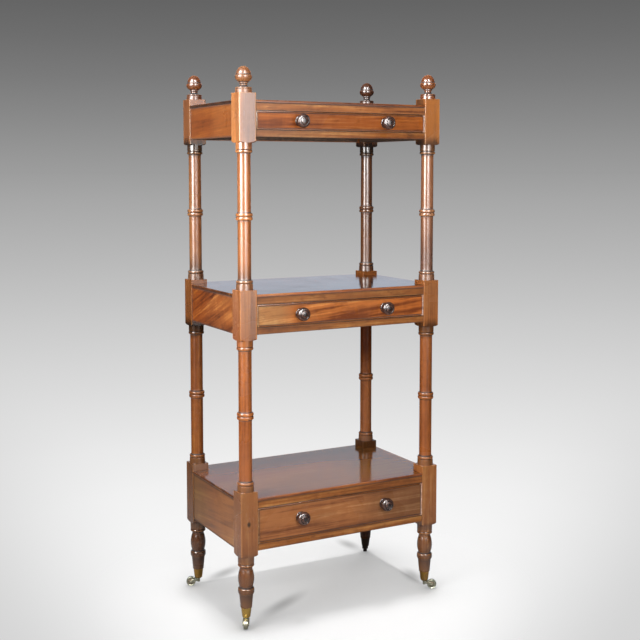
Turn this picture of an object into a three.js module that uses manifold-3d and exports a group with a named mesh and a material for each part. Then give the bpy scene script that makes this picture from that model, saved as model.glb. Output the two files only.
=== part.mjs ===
// A three-tier etagere with a drawer in each tier: turned posts, boarded tiers and brass cup castors.
// Millimetres, +Z up, front towards -Y.

import * as THREE from "three";
import { mergeVertices } from "three/addons/utils/BufferGeometryUtils.js";
import Module from "manifold-3d";

const wasm = await Module();
wasm.setup();

// Case, measured over the outer faces of the posts
const caseWidth = 572;
const caseDepth = 354;

// Fits between pieces that are made apart, and the overrun of pieces that are joined as one
const fitGap = 0.3;
const overrun = 2;

// Square blocks of the posts
const blockSize = 45;
const blockFoot = 13.5;
const shoulderHeight = 4;
const shoulderSpread = 2;

// Turned columns between the blocks
const lowerColumnHeight = 372.5;
const upperColumnHeight = 353.5;
const shaftRadius = 16;
const drumRadius = 20.4;
const drumHeight = 15.5;
const collarRadius = 19.8;
const collarHeight = 16;
const ringRadius = 20.2;
const ringHeight = 7;
const pairRingHeight = 8;
const dowelRadius = 8;
const dowelLength = 22;

// Turned feet, from the castor cup up to the lower block
const taperHeight = 36;
const taperLowRadius = 13.8;
const taperTopRadius = 17.6;
const torusRadius = 20.1;
const torusHeight = 13;
const bulbRadius = 19.9;
const bulbHeight = 50;
const bulbNeckRadius = 15.7;
const footNeckHeight = 4.5;
const footRingHeight = 6;
const footCollarHeight = 21;

// Finials, from the top of the upper block
const finialDrumRadius = 20;
const finialDrumHeight = 12;
const finialConeRadius = 12.5;
const finialConeHeight = 4.5;
const finialNeckRadius = 7;
const finialBeadRadius = 8;
const finialBeadHeight = 5.5;
const finialDiscRadius = 10.6;
const finialDiscHeight = 5;
const finialCupHeight = 9.5;
const finialFlangeRadius = 20.4;
const finialFlangeHeight = 6.5;
const finialDomeRadius = 15.3;
const finialDomeHeight = 20;
const finialDowelRadius = 5;
const finialDowelLength = 18;

// Tier boards, rails, sides and backs
const boardThickness = 7.2;
const boardSetback = 0.6;
const upperRailHeight = 18;
const lowerRailHeight = 17;
const railDepth = 20;
const railSetback = 1;
const sideThickness = 14;
const sideSetback = 2;
const backThickness = 12;
const backSetback = 2;
const tenonLength = 12;
const tenonShoulder = 3.5;
const runnerReach = 14;
const kickerHeight = 12;
const guideHeight = 16;

// Drawers
const drawerGap = 0.8;
const drawerFaceSetback = 1.8;
const drawerFrontThickness = 16;
const beadThickness = 3;
const beadProud = 1.6;
const drawerWall = 9;
const drawerWallDrop = 4;
const drawerSideGap = 1;
const drawerBottomThickness = 6;
const drawerBottomRaise = 5;
const drawerBackClearance = 8;

// Knobs
const knobSpacing = 244;
const knobShankRadius = 4.5;
const knobShankTail = 3;
const knobRoseRadius = 14;
const knobRoseThickness = 3.5;
const knobNeckRadius = 7.5;
const knobNeckLength = 9;
const knobHeadRadius = 16.6;
const knobHeadLength = 12.5;
const knobFaceRadius = 12.4;
const knobButtonRadius = 8.4;
const knobButtonHeight = 2.4;

// Castors
const wheelRadius = 12.5;
const wheelWidth = 11;
const wheelEdge = 1.6;
const wheelSideGap = 0.5;
const axleRadius = 2;
const hornReach = 7.5;
const hornHubRadius = 4.2;
const hornHubDrop = 1.5;
const hornPlateRadius = 6.5;
const hornPlateHeight = 1.6;
const hornYokeHeight = 5.5;
const hornCheekThickness = 2;
const hornCheekRadius = 4.2;
const pivotRadius = 2.6;
const pivotHeadRadius = 4.4;
const pivotHeadHeight = 2;
const cupRise = 10.2;
const cupHeight = 26;
const cupTopRadius = 12.5;
const cupFootRadius = 9.4;
const cupFootRound = 1.8;
const cupWall = 1.5;
const cupFloor = 3;
const castorHeading = THREE.MathUtils.degToRad(-118.6);

// Fineness of the round forms, and how far in from its corners a turned hollow's flats lie
const turnedSides = 12;
const wheelSides = 20;
const roundSteps = 3;
const domeSteps = 5;
const flatShare = Math.cos(Math.PI / turnedSides);

// Tiers from the floor up: the height of the drawer opening, how far the block stands above the
// board, and how far the knobs sit above the middle of the drawer
const lowerOpeningHeight = 88;
const lowerBlockRise = 17.5;
const lowerKnobRise = 6;
const middleOpeningHeight = 55.5;
const middleBlockRise = 11;
const upperOpeningHeight = 46;
const upperBlockRise = 16.5;
const tiers = [
  { name: "lower", openingHeight: lowerOpeningHeight, blockRise: lowerBlockRise, knobRise: lowerKnobRise },
  { name: "middle", openingHeight: middleOpeningHeight, blockRise: middleBlockRise, knobRise: 0 },
  { name: "upper", openingHeight: upperOpeningHeight, blockRise: upperBlockRise, knobRise: 0 },
];

// Levels that follow from the sizes above
const axleLevel = wheelRadius;
const cupFootLevel = axleLevel + cupRise;
const cupTopLevel = cupFootLevel + cupHeight;
const taperFootLevel = cupTopLevel + fitGap;
const footHeight =
  taperHeight + torusHeight + bulbHeight + footNeckHeight + footRingHeight + footCollarHeight;
const columnHeights = [lowerColumnHeight, upperColumnHeight];
let level = taperFootLevel + footHeight;
for (const [index, tier] of tiers.entries()) {
  tier.blockBottom = level;
  tier.caseBottom = tier.blockBottom + blockFoot;
  tier.openingBottom = tier.caseBottom + lowerRailHeight;
  tier.openingTop = tier.openingBottom + tier.openingHeight;
  tier.boardBottom = tier.openingTop + upperRailHeight;
  tier.boardTop = tier.boardBottom + boardThickness;
  tier.blockTop = tier.boardTop + tier.blockRise;
  level = tier.blockTop + (columnHeights[index] ?? 0);
}
const [lowerTier, middleTier, upperTier] = tiers;

// Places that follow from the sizes above
const halfWidth = caseWidth / 2;
const halfDepth = caseDepth / 2;
const postX = halfWidth - blockSize / 2;
const postY = halfDepth - blockSize / 2;
const openingHalfWidth = halfWidth - blockSize;
const bayHalfDepth = halfDepth - blockSize;
const drawerFaceY = -halfDepth + drawerFaceSetback;
const drawerFrontBackY = drawerFaceY + drawerFrontThickness;
const drawerBackY = halfDepth - backSetback - backThickness - drawerBackClearance;
const corners = [
  { name: "front_left", x: -1, y: -1, turn: 0 },
  { name: "front_right", x: 1, y: -1, turn: 1 },
  { name: "back_right", x: 1, y: 1, turn: 2 },
  { name: "back_left", x: -1, y: 1, turn: 3 },
];

// Finishes
const finishes = {
  mahogany: { color: 0x8a4a26, roughness: 0.32, metalness: 0 },
  drawerLining: { color: 0xa9794c, roughness: 0.6, metalness: 0 },
  knobWood: { color: 0x2a1c17, roughness: 0.18, metalness: 0 },
  brass: { color: 0xb08a3e, roughness: 0.35, metalness: 1 },
  wheelBrass: { color: 0x5f5a4c, roughness: 0.5, metalness: 1 },
};

// A closed three.js geometry as a solid, and a solid as a three.js geometry

function solidOf(geometry) {
  const plain = geometry.clone();
  plain.deleteAttribute("normal");
  plain.deleteAttribute("uv");
  const merged = mergeVertices(plain);
  const index = Array.from(merged.index.array);
  const triangles = [];
  for (let i = 0; i < index.length; i += 3) {
    const [a, b, c] = index.slice(i, i + 3);
    if (a !== b && b !== c && c !== a) {
      triangles.push(a, b, c);
    }
  }
  return new wasm.Manifold(new wasm.Mesh({
    numProp: 3,
    vertProperties: new Float32Array(merged.attributes.position.array),
    triVerts: new Uint32Array(triangles),
  }));
}

function geometryOf(solid) {
  const mesh = solid.getMesh();
  const indexed = new THREE.BufferGeometry();
  indexed.setAttribute("position", new THREE.BufferAttribute(mesh.vertProperties, mesh.numProp));
  indexed.setIndex(new THREE.BufferAttribute(mesh.triVerts, 1));
  const faceted = indexed.toNonIndexed();
  faceted.computeVertexNormals();
  return faceted;
}

// A turned solid about the Z axis from [radius, height] pairs that run upwards on the outside

function turned(profile, sides = turnedSides) {
  const points = profile.map(([radius, height]) => new THREE.Vector2(radius, height));
  const geometry = new THREE.LatheGeometry(points, sides);
  return solidOf(geometry.rotateX(Math.PI / 2));
}

function rod(radius, bottom, top, sides = turnedSides) {
  return turned([[0, bottom], [radius, bottom], [radius, top], [0, top]], sides);
}

function box([x0, y0, z0], [x1, y1, z1]) {
  const geometry = new THREE.BoxGeometry(x1 - x0, y1 - y0, z1 - z0);
  return solidOf(geometry.translate((x0 + x1) / 2, (y0 + y1) / 2, (z0 + z1) / 2));
}

// The points of a half-round ring on a turning, from its foot to its top

function roundRing(bottom, height, innerRadius, outerRadius) {
  return Array.from({ length: roundSteps + 1 }, (_, step) => {
    const angle = Math.PI * step / roundSteps;
    const swell = Math.sin(angle);
    return [
      innerRadius + (outerRadius - innerRadius) * swell,
      bottom + height * (1 - Math.cos(angle)) / 2,
    ];
  });
}

// A torus that is fuller than a half round: the outer flat takes the middle third

function fullRing(bottom, height, innerRadius, outerRadius) {
  const third = height / 3;
  return [
    [innerRadius, bottom],
    [outerRadius, bottom + third],
    [outerRadius, bottom + height - third],
    [innerRadius, bottom + height],
  ];
}

// A swelling between two equal necks, as half a sine wave

function swelling(bottom, height, neckRadius, bellyRadius) {
  return Array.from({ length: domeSteps + 1 }, (_, step) => {
    const share = step / domeSteps;
    return [neckRadius + (bellyRadius - neckRadius) * Math.sin(Math.PI * share), bottom + height * share];
  });
}

// A dome as a quarter ellipse up to the axis

function dome(bottom, radius, height) {
  return Array.from({ length: domeSteps + 1 }, (_, step) => {
    const angle = Math.PI / 2 * step / domeSteps;
    return [step === domeSteps ? 0 : radius * Math.cos(angle), bottom + height * Math.sin(angle)];
  });
}

// The model, and one function that adds a finished piece to a group of it

const etagere = new THREE.Group();

function add(group, name, solid, finish, place = [0, 0, 0]) {
  const mesh = new THREE.Mesh(geometryOf(solid), new THREE.MeshStandardMaterial(finishes[finish]));
  mesh.name = name;
  mesh.position.set(...place);
  group.add(mesh);
  return mesh;
}

// Boxes given by their corners, grown on every side by the fit, as sockets for tenons

function grown([low, high], gap = fitGap) {
  return [low.map((value) => value - gap), high.map((value) => value + gap)];
}

function spanX(x0, x1) {
  return [Math.min(x0, x1), Math.max(x0, x1)];
}

// Rails, sides and backs: each has its body and its tenons as boxes in the case's frame

function railBoxes(bottom, height) {
  const front = -halfDepth + railSetback;
  const body = [
    [-openingHalfWidth, front, bottom],
    [openingHalfWidth, front + railDepth, bottom + height],
  ];
  return { body, tenons: endTenonsX(body) };
}

function backBoxes(tier) {
  const rear = halfDepth - backSetback;
  const body = [
    [-openingHalfWidth, rear - backThickness, tier.caseBottom],
    [openingHalfWidth, rear, tier.boardBottom],
  ];
  return { body, tenons: endTenonsX(body) };
}

function endTenonsX([low, high]) {
  return [-1, 1].map((side) => {
    const root = side * openingHalfWidth;
    const [x0, x1] = spanX(root - side * overrun, root + side * tenonLength);
    return [
      [x0, low[1] + tenonShoulder, low[2] + tenonShoulder],
      [x1, high[1] - tenonShoulder, high[2] - tenonShoulder],
    ];
  });
}

function sideTenons(tier, side) {
  const outer = side * (halfWidth - sideSetback - tenonShoulder);
  const inner = side * (halfWidth - sideSetback - sideThickness + tenonShoulder);
  const [x0, x1] = spanX(outer, inner);
  return [-1, 1].map((end) => {
    const [y0, y1] = spanX(end * (bayHalfDepth - overrun), end * (bayHalfDepth + tenonLength));
    return [
      [x0, y0, tier.caseBottom + tenonShoulder],
      [x1, y1, tier.boardBottom - tenonShoulder],
    ];
  });
}

function tierTenons(tier) {
  return [
    ...railBoxes(tier.caseBottom, lowerRailHeight).tenons,
    ...railBoxes(tier.openingTop, upperRailHeight).tenons,
    ...backBoxes(tier).tenons,
    ...sideTenons(tier, -1),
    ...sideTenons(tier, 1),
  ];
}

function addRail(name, { body, tenons }) {
  const solid = tenons.reduce((sum, tenon) => sum.add(box(...tenon)), box(...body));
  add(etagere, name, solid, "mahogany");
}

// A side panel with its runner, guide and kicker, as one section carried from post to post

function addSide(name, tier, side) {
  const outer = halfWidth - sideSetback;
  const panel = outer - sideThickness;
  const guide = openingHalfWidth;
  const runner = openingHalfWidth - runnerReach;
  const outline = [
    [outer, tier.caseBottom],
    [runner, tier.caseBottom],
    [runner, tier.openingBottom],
    [guide, tier.openingBottom],
    [guide, tier.openingBottom + guideHeight],
    [panel, tier.openingBottom + guideHeight],
    [panel, tier.openingTop],
    [runner, tier.openingTop],
    [runner, tier.openingTop + kickerHeight],
    [panel, tier.openingTop + kickerHeight],
    [panel, tier.boardBottom],
    [outer, tier.boardBottom],
  ];
  const shape = new THREE.Shape(outline.map(([x, z]) => new THREE.Vector2(side * x, z)));
  const section = new THREE.ExtrudeGeometry(shape, { depth: 2 * bayHalfDepth, bevelEnabled: false });
  section.rotateX(Math.PI / 2).translate(0, bayHalfDepth, 0);
  const solid = sideTenons(tier, side).reduce((sum, tenon) => sum.add(box(...tenon)), solidOf(section));
  add(etagere, name, solid, "mahogany");
}

// A tier's board, notched round the four posts

function addBoard(name, tier) {
  const x = halfWidth - boardSetback;
  const y = halfDepth - boardSetback;
  const notchX = openingHalfWidth - fitGap;
  const notchY = bayHalfDepth - fitGap;
  const quarter = [[notchX, y], [notchX, notchY], [x, notchY]];
  const outline = [
    ...quarter.map(([px, py]) => [-px, -py]),
    ...quarter.toReversed().map(([px, py]) => [-px, py]),
    ...quarter.map(([px, py]) => [px, py]),
    ...quarter.toReversed().map(([px, py]) => [px, -py]),
  ];
  const shape = new THREE.Shape(outline.map(([px, py]) => new THREE.Vector2(px, py)));
  const plate = new THREE.ExtrudeGeometry(shape, { depth: boardThickness, bevelEnabled: false });
  add(etagere, name, solidOf(plate), "mahogany", [0, 0, tier.boardBottom]);
}

// The square block of a post with its turned lower shoulder, in the post's own frame

function block(bottom, top) {
  const half = blockSize / 2;
  const square = box([-half, -half, bottom], [half, half, top]);
  const shoulder = turned([
    [0, bottom],
    [half + shoulderSpread, bottom],
    [blockSize, bottom + shoulderHeight * blockSize / (half + shoulderSpread)],
    [blockSize, top + overrun],
    [0, top + overrun],
  ]);
  return square.intersect(shoulder);
}

// A post's sockets: one in the top for the dowel above, and one for each tenon that reaches it

function withSockets(solid, tier, corner, radius, depth) {
  const socket = rod(radius + fitGap, tier.blockTop - depth - fitGap, tier.blockTop + overrun);
  const place = [-corner.x * postX, -corner.y * postY, 0];
  const half = blockSize / 2 + overrun;
  const reached = tierTenons(tier).filter(([low, high]) =>
    low[0] < corner.x * postX + half && high[0] > corner.x * postX - half &&
    low[1] < corner.y * postY + half && high[1] > corner.y * postY - half);
  return reached.reduce(
    (sum, tenon) => sum.subtract(box(...grown(tenon)).translate(place)),
    solid.subtract(socket),
  );
}

// A ring-turned column from the block below to the block above, with its dowel

function column(bottom, top) {
  const ringFoot = bottom + drumHeight;
  const middle = (bottom + top) / 2;
  const collarFoot = top - collarHeight;
  return turned([
    [0, bottom - dowelLength],
    [dowelRadius, bottom - dowelLength],
    [dowelRadius, bottom + fitGap],
    [drumRadius, bottom + fitGap],
    [drumRadius, ringFoot],
    [shaftRadius, ringFoot],
    ...roundRing(ringFoot, ringHeight, shaftRadius, ringRadius).slice(1),
    ...roundRing(middle - pairRingHeight, pairRingHeight, shaftRadius, ringRadius),
    ...roundRing(middle, pairRingHeight, shaftRadius, ringRadius).slice(1),
    ...roundRing(collarFoot - ringHeight, ringHeight, shaftRadius, ringRadius),
    [collarRadius, collarFoot],
    [collarRadius, top + overrun],
    [0, top + overrun],
  ]);
}

// A turned foot from the castor cup to the lower block, with its spigot in the cup

function foot(top) {
  const spigotTopRadius = (cupTopRadius - cupWall) * flatShare - fitGap;
  const spigotFootRadius = (cupFootRadius - cupWall) * flatShare - fitGap;
  const spigotFoot = cupFootLevel + cupFloor + pivotHeadHeight + 2 * fitGap;
  const taperTop = taperFootLevel + taperHeight;
  const bulbFoot = taperTop + torusHeight;
  const neckFoot = bulbFoot + bulbHeight;
  const ringFoot = neckFoot + footNeckHeight;
  const collarFoot = ringFoot + footRingHeight;
  return turned([
    [0, spigotFoot],
    [spigotFootRadius, spigotFoot],
    [spigotTopRadius, taperFootLevel],
    [taperLowRadius, taperFootLevel],
    [taperTopRadius, taperTop],
    ...fullRing(taperTop, torusHeight, taperTopRadius, torusRadius).slice(1),
    ...swelling(bulbFoot, bulbHeight, bulbNeckRadius, bulbRadius),
    [bulbNeckRadius, ringFoot],
    ...roundRing(ringFoot, footRingHeight, bulbNeckRadius, ringRadius).slice(1),
    [collarRadius, collarFoot],
    [collarRadius, top + overrun],
    [0, top + overrun],
  ]);
}

function finial() {
  const coneFoot = fitGap + finialDrumHeight;
  const beadFoot = coneFoot + finialConeHeight;
  const discFoot = beadFoot + finialBeadHeight;
  const cupFoot = discFoot + finialDiscHeight;
  const flangeFoot = cupFoot + finialCupHeight;
  const domeFoot = flangeFoot + finialFlangeHeight;
  return turned([
    [0, -finialDowelLength],
    [finialDowelRadius, -finialDowelLength],
    [finialDowelRadius, fitGap],
    [finialDrumRadius, fitGap],
    [finialDrumRadius, coneFoot],
    [finialConeRadius, coneFoot],
    [finialNeckRadius, beadFoot],
    ...roundRing(beadFoot, finialBeadHeight, finialNeckRadius, finialBeadRadius).slice(1),
    [finialDiscRadius, discFoot],
    [finialDiscRadius, cupFoot],
    [finialFlangeRadius, flangeFoot],
    [finialFlangeRadius, domeFoot],
    ...dome(domeFoot, finialDomeRadius, finialDomeHeight),
  ]);
}

// The three sections of each post and the finial on it

function addPost(corner) {
  const place = [corner.x * postX, corner.y * postY, 0];
  const lower = block(lowerTier.blockBottom, lowerTier.blockTop).add(foot(lowerTier.blockBottom));
  const middle = block(middleTier.blockBottom, middleTier.blockTop)
    .add(column(lowerTier.blockTop, middleTier.blockBottom));
  const upper = block(upperTier.blockBottom, upperTier.blockTop)
    .add(column(middleTier.blockTop, upperTier.blockBottom));
  const sections = [[lower, lowerTier], [middle, middleTier]];
  for (const [solid, tier] of sections) {
    const socketed = withSockets(solid, tier, corner, dowelRadius, dowelLength);
    add(etagere, `${tier.name}_post_${corner.name}`, socketed, "mahogany", place);
  }
  const top = withSockets(upper, upperTier, corner, finialDowelRadius, finialDowelLength);
  add(etagere, `upper_post_${corner.name}`, top, "mahogany", place);
  const finialPlace = [place[0], place[1], upperTier.blockTop];
  add(etagere, `finial_${corner.name}`, finial(), "mahogany", finialPlace);
}

// Drawers

function addKnob(name, tier, side) {
  const neckEnd = knobRoseThickness + knobNeckLength;
  const headEnd = neckEnd + knobHeadLength;
  const belly = neckEnd + knobHeadLength / 2;
  const solid = turned([
    [0, -drawerFrontThickness - knobShankTail],
    [knobShankRadius, -drawerFrontThickness - knobShankTail],
    [knobShankRadius, fitGap],
    [knobRoseRadius, fitGap],
    [knobRoseRadius, knobRoseThickness],
    [knobNeckRadius, knobRoseThickness],
    [knobNeckRadius, neckEnd],
    [knobHeadRadius, belly],
    [knobFaceRadius, headEnd],
    [knobButtonRadius, headEnd],
    [knobButtonRadius, headEnd + knobButtonHeight],
    [0, headEnd + knobButtonHeight],
  ]);
  const knob = add(etagere, name, solid, "knobWood", [side * knobSpacing / 2, drawerFaceY, knobLevel(tier)]);
  knob.rotation.x = Math.PI / 2;
}

function knobLevel(tier) {
  return (tier.openingBottom + tier.openingTop) / 2 + tier.knobRise;
}

function addDrawerFront(name, tier) {
  const x = openingHalfWidth - drawerGap;
  const bottom = tier.openingBottom + drawerGap;
  const top = tier.openingTop - drawerGap;
  const board = box([-x, drawerFaceY, bottom], [x, drawerFrontBackY, top]);
  const rim = box([-x, drawerFaceY - beadProud, bottom], [x, drawerFaceY + overrun, top]);
  const field = box(
    [-x + beadThickness, drawerFaceY - beadProud - overrun, bottom + beadThickness],
    [x - beadThickness, drawerFaceY, top - beadThickness],
  );
  const holes = [-1, 1].map((side) => rod(knobShankRadius + fitGap, -drawerFrontThickness - overrun, overrun)
    .rotate([90, 0, 0])
    .translate([side * knobSpacing / 2, drawerFaceY, knobLevel(tier)]));
  const solid = holes.reduce((sum, hole) => sum.subtract(hole), board.add(rim).subtract(field));
  add(etagere, name, solid, "mahogany");
}

function addDrawerBox(name, tier) {
  const x = openingHalfWidth - drawerSideGap;
  const front = drawerFrontBackY + fitGap;
  const bottom = tier.openingBottom + fitGap;
  const top = tier.openingTop - drawerGap - drawerWallDrop;
  const outer = box([-x, front, bottom], [x, drawerBackY, top]);
  const inside = [[-x + drawerWall, front - overrun], [x - drawerWall, drawerBackY - drawerWall]];
  const well = bottom + drawerBottomRaise + drawerBottomThickness;
  const hollow = box([...inside[0], well], [...inside[1], top + overrun]);
  const under = box([...inside[0], bottom - overrun], [...inside[1], bottom + drawerBottomRaise]);
  add(etagere, name, outer.subtract(hollow).subtract(under), "drawerLining");
}

// Castors: a cup on the foot, a horn that swivels in its floor, and a wheel that trails behind

function addCastor(corner) {
  const group = new THREE.Group();
  group.position.set(corner.x * postX, corner.y * postY, 0);
  group.rotation.z = castorHeading + corner.turn * Math.PI / 2;
  etagere.add(group);
  const trail = wheelRadius + hornReach;
  const bore = (pivotRadius + fitGap) / flatShare;
  const cup = turned([
    [bore, 0],
    [cupFootRadius - cupFootRound, 0],
    [cupFootRadius, cupFootRound],
    [cupTopRadius, cupHeight],
    [cupTopRadius - cupWall, cupHeight],
    [cupFootRadius - cupWall, cupFloor],
    [bore, cupFloor],
    [bore, 0],
  ]);
  add(group, `castor_cup_${corner.name}`, cup, "brass", [0, 0, cupFootLevel]);
  add(group, `castor_horn_${corner.name}`, horn(trail), "wheelBrass", [0, 0, axleLevel]);
  const wheel = add(group, `castor_wheel_${corner.name}`, castorWheel(), "wheelBrass", [trail, 0, axleLevel]);
  wheel.rotation.x = Math.PI / 2;
}

function horn(trail) {
  const cheekInner = wheelWidth / 2 + wheelSideGap;
  const cheekOuter = cheekInner + hornCheekThickness;
  const plateTop = cupRise - fitGap;
  const yokeTop = plateTop - hornPlateHeight;
  const headFoot = cupRise + cupFloor + fitGap;
  const hub = turned([
    [0, -hornHubDrop],
    [hornHubRadius, -hornHubDrop],
    [hornHubRadius, yokeTop],
    [hornPlateRadius, yokeTop],
    [hornPlateRadius, plateTop],
    [pivotRadius, plateTop],
    [pivotRadius, headFoot],
    [pivotHeadRadius, headFoot],
    [pivotHeadRadius, headFoot + pivotHeadHeight],
    [0, headFoot + pivotHeadHeight],
  ]);
  const yokeFoot = yokeTop - hornYokeHeight;
  const yokeReach = hornReach - fitGap;
  const yoke = box([0, -cheekOuter, yokeFoot], [yokeReach, cheekOuter, yokeTop]);
  const cheek = new THREE.Shape();
  cheek.moveTo(0, yokeFoot);
  cheek.lineTo(trail, -hornCheekRadius);
  cheek.absarc(trail, 0, hornCheekRadius, -Math.PI / 2, Math.PI / 2, false);
  cheek.lineTo(yokeReach, yokeTop);
  cheek.lineTo(0, yokeTop);
  cheek.closePath();
  const plate = new THREE.ExtrudeGeometry(
    cheek,
    { depth: hornCheekThickness, bevelEnabled: false, curveSegments: domeSteps },
  ).rotateX(Math.PI / 2);
  const cheeks = [cheekOuter, -cheekInner].map((y) => solidOf(plate.clone().translate(0, y, 0)));
  const axle = rod(axleRadius, -cheekOuter, cheekOuter)
    .rotate([90, 0, 0])
    .translate([trail, 0, 0]);
  return [yoke, ...cheeks, axle].reduce((sum, piece) => sum.add(piece), hub);
}

// The wheel stands on a flat of its faceted rim

function castorWheel() {
  const half = wheelWidth / 2;
  const rim = wheelRadius / Math.cos(Math.PI / wheelSides);
  const bore = axleRadius + fitGap;
  return turned([
    [bore, -half],
    [rim - wheelEdge, -half],
    [rim, -half + wheelEdge],
    [rim, half - wheelEdge],
    [rim - wheelEdge, half],
    [bore, half],
    [bore, -half],
  ], wheelSides).rotate([0, 0, 180 / wheelSides]);
}

for (const corner of corners) {
  addPost(corner);
  addCastor(corner);
}
for (const tier of tiers) {
  addBoard(`${tier.name}_board`, tier);
  addRail(`${tier.name}_front_rail_top`, railBoxes(tier.openingTop, upperRailHeight));
  addRail(`${tier.name}_front_rail_bottom`, railBoxes(tier.caseBottom, lowerRailHeight));
  addRail(`${tier.name}_back_panel`, backBoxes(tier));
  addSide(`${tier.name}_side_left`, tier, -1);
  addSide(`${tier.name}_side_right`, tier, 1);
  addDrawerFront(`${tier.name}_drawer_front`, tier);
  addDrawerBox(`${tier.name}_drawer_box`, tier);
  addKnob(`${tier.name}_drawer_knob_left`, tier, -1);
  addKnob(`${tier.name}_drawer_knob_right`, tier, 1);
}

// The origin is the bottom centre of the whole, knobs and castors counted
const reach = new THREE.Box3().setFromObject(etagere, true);
const centre = reach.getCenter(new THREE.Vector3());
etagere.position.set(-centre.x, -centre.y, -reach.min.z);

export default etagere;
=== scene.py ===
"""The etagere's looks: turned mahogany posts, boarded tiers with cock-beaded drawers, and brass castors."""

import math

import bpy
import numpy as np
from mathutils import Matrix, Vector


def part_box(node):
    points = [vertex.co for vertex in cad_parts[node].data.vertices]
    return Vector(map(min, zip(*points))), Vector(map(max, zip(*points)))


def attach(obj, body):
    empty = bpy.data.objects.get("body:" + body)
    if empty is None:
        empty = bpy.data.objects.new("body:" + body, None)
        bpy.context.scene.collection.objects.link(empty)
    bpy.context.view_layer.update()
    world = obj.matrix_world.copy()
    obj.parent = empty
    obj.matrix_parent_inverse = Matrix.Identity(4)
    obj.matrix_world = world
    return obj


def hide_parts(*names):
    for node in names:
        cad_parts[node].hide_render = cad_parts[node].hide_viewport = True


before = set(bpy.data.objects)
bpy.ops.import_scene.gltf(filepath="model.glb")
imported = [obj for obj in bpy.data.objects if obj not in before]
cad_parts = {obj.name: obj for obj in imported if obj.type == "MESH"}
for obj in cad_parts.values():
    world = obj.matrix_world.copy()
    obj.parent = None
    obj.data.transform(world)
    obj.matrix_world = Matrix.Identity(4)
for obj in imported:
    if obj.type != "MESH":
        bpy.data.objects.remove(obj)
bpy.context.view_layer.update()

bl_info = {
    "name": "Etagere",
    "version": (1, 0, 0),
    "blender": (4, 5, 0),
    "location": "View3D > Sidebar > Etagere",
    "description": "Dresses a three-tier etagere with turned posts, drawers and brass castors",
    "category": "Add Mesh",
}

MM = 0.001
CORNERS = ("front_left", "front_right", "back_right", "back_left")
TIERS = ("lower", "middle", "upper")
SIDES = ("left", "right")
CASE = "case"
SHARP = 40  # degrees between two faces, past which their edge stays sharp
SEAM = 0.1  # millimetres between the faces of pieces that touch
CLEAR = 0.3  # millimetres round a post in a board's notches, and between a castor cup and its foot


# Sizes and colours that a user would change


def length(name, description, default):
    """A length property in metres, given in millimetres."""
    return bpy.props.FloatProperty(
        name=name, description=description, default=default * MM, min=0, unit="LENGTH", precision=5
    )


def tone(name, description, default):
    """A colour property."""
    return bpy.props.FloatVectorProperty(
        name=name, description=description, default=default, size=3, min=0, max=1, subtype="COLOR"
    )


def strength(name, description, default, unit="NONE"):
    """A light's strength property, in watts where the unit is POWER."""
    return bpy.props.FloatProperty(name=name, description=description, default=default, min=0, unit=unit)


class EtagereSizes(bpy.types.PropertyGroup):
    """Sizes of the visible pieces."""

    block_foot: length("Block foot", "How far a block reaches below its tier", 13.5)
    shoulder: length("Shoulder", "Radius of a block's turned lower shoulder", 24.5)
    arris: length("Arris", "Rounding of the sawn edges", 0.7)
    nosing: length("Nosing", "Rounding of a board's upper edge", 2.6)
    panel: length("Panel", "Thickness of a side panel", 14)
    runner: length("Runner", "Height of a drawer runner", 17)
    guide: length("Guide", "Height of a drawer guide", 16)
    kicker: length("Kicker", "Height of a drawer kicker", 12)
    bead: length("Cock bead", "Width of the bead round a drawer front", 3)
    bead_proud: length("Bead projection", "How far the bead stands proud", 1.6)
    front: length("Drawer front", "Thickness of a drawer front", 16)
    lining: length("Lining", "Thickness of a drawer's sides and back", 9)
    drawer_bottom: length("Drawer bottom", "Thickness of a drawer's bottom", 6)
    bottom_raise: length("Bottom raise", "Height of a drawer's bottom above its sides' feet", 5)
    columns: bpy.props.IntProperty(
        name="Columns", description="Points round a turned post", default=72, min=24, step=8
    )


class EtagereFinish(bpy.types.PropertyGroup):
    """Colours of the wood and the metal."""

    dark: tone("Dark grain", "Darkest grain of the mahogany", (0.115, 0.026, 0.008))
    mid: tone("Middle grain", "Main colour of the mahogany", (0.330, 0.088, 0.019))
    light: tone("Light grain", "Lightest grain of the mahogany", (0.56, 0.200, 0.050))
    lining: tone("Lining wood", "Plain wood inside the drawers", (0.40, 0.25, 0.125))
    # The wood inside the case is kept dark as painted shade
    under: tone("Unpolished wood", "Darkened wood inside the case", (0.075, 0.038, 0.020))
    knob: tone("Knob", "Blackened wood of the knobs", (0.030, 0.014, 0.011))
    brass: tone("Brass", "Clean places of the brass", (0.51, 0.32, 0.088))
    patina: tone("Patina", "Tarnished places of the brass", (0.10, 0.055, 0.025))
    wheel: tone("Wheel", "Worn metal of the wheels", (0.31, 0.315, 0.24))


class EtagereStage(bpy.types.PropertyGroup):
    """Camera, lights and floor."""

    lens: bpy.props.FloatProperty(
        name="Lens", description="Focal length", default=62.9, subtype="DISTANCE_CAMERA"
    )
    key: strength("Left light", "Power of the left light", 50, "POWER")
    fill: strength("Front light", "Power of the front light", 36, "POWER")
    gleam: strength("Gleam", "Power of the glossy highlights", 70, "POWER")
    wash: strength("Wash", "Power of the wide front panel", 16, "POWER")
    top: strength("Top light", "Power of the top light", 25, "POWER")
    back: strength("Back light", "Power of the light behind", 18, "POWER")
    overhead: strength("Overhead", "Light on a level face from above", 1.95)
    ambient: strength("Ambient", "Light from all round", 0.08)
    floor: tone("Floor", "Colour of the floor by the object", (0.765, 0.765, 0.765))


# Meshes from arrays


def ring_faces(rows, columns, close_rows=False):
    """Quads between neighbouring rows of a grid whose columns close on themselves."""
    row = np.arange(rows if close_rows else rows - 1)[:, None]
    column = np.arange(columns)[None, :]
    here, up = row * columns, (row + 1) % rows * columns
    right = (column + 1) % columns
    quads = np.stack([here + column, here + right, up + right, up + column], axis=-1)
    return quads.reshape(-1, 4).tolist()


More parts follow.
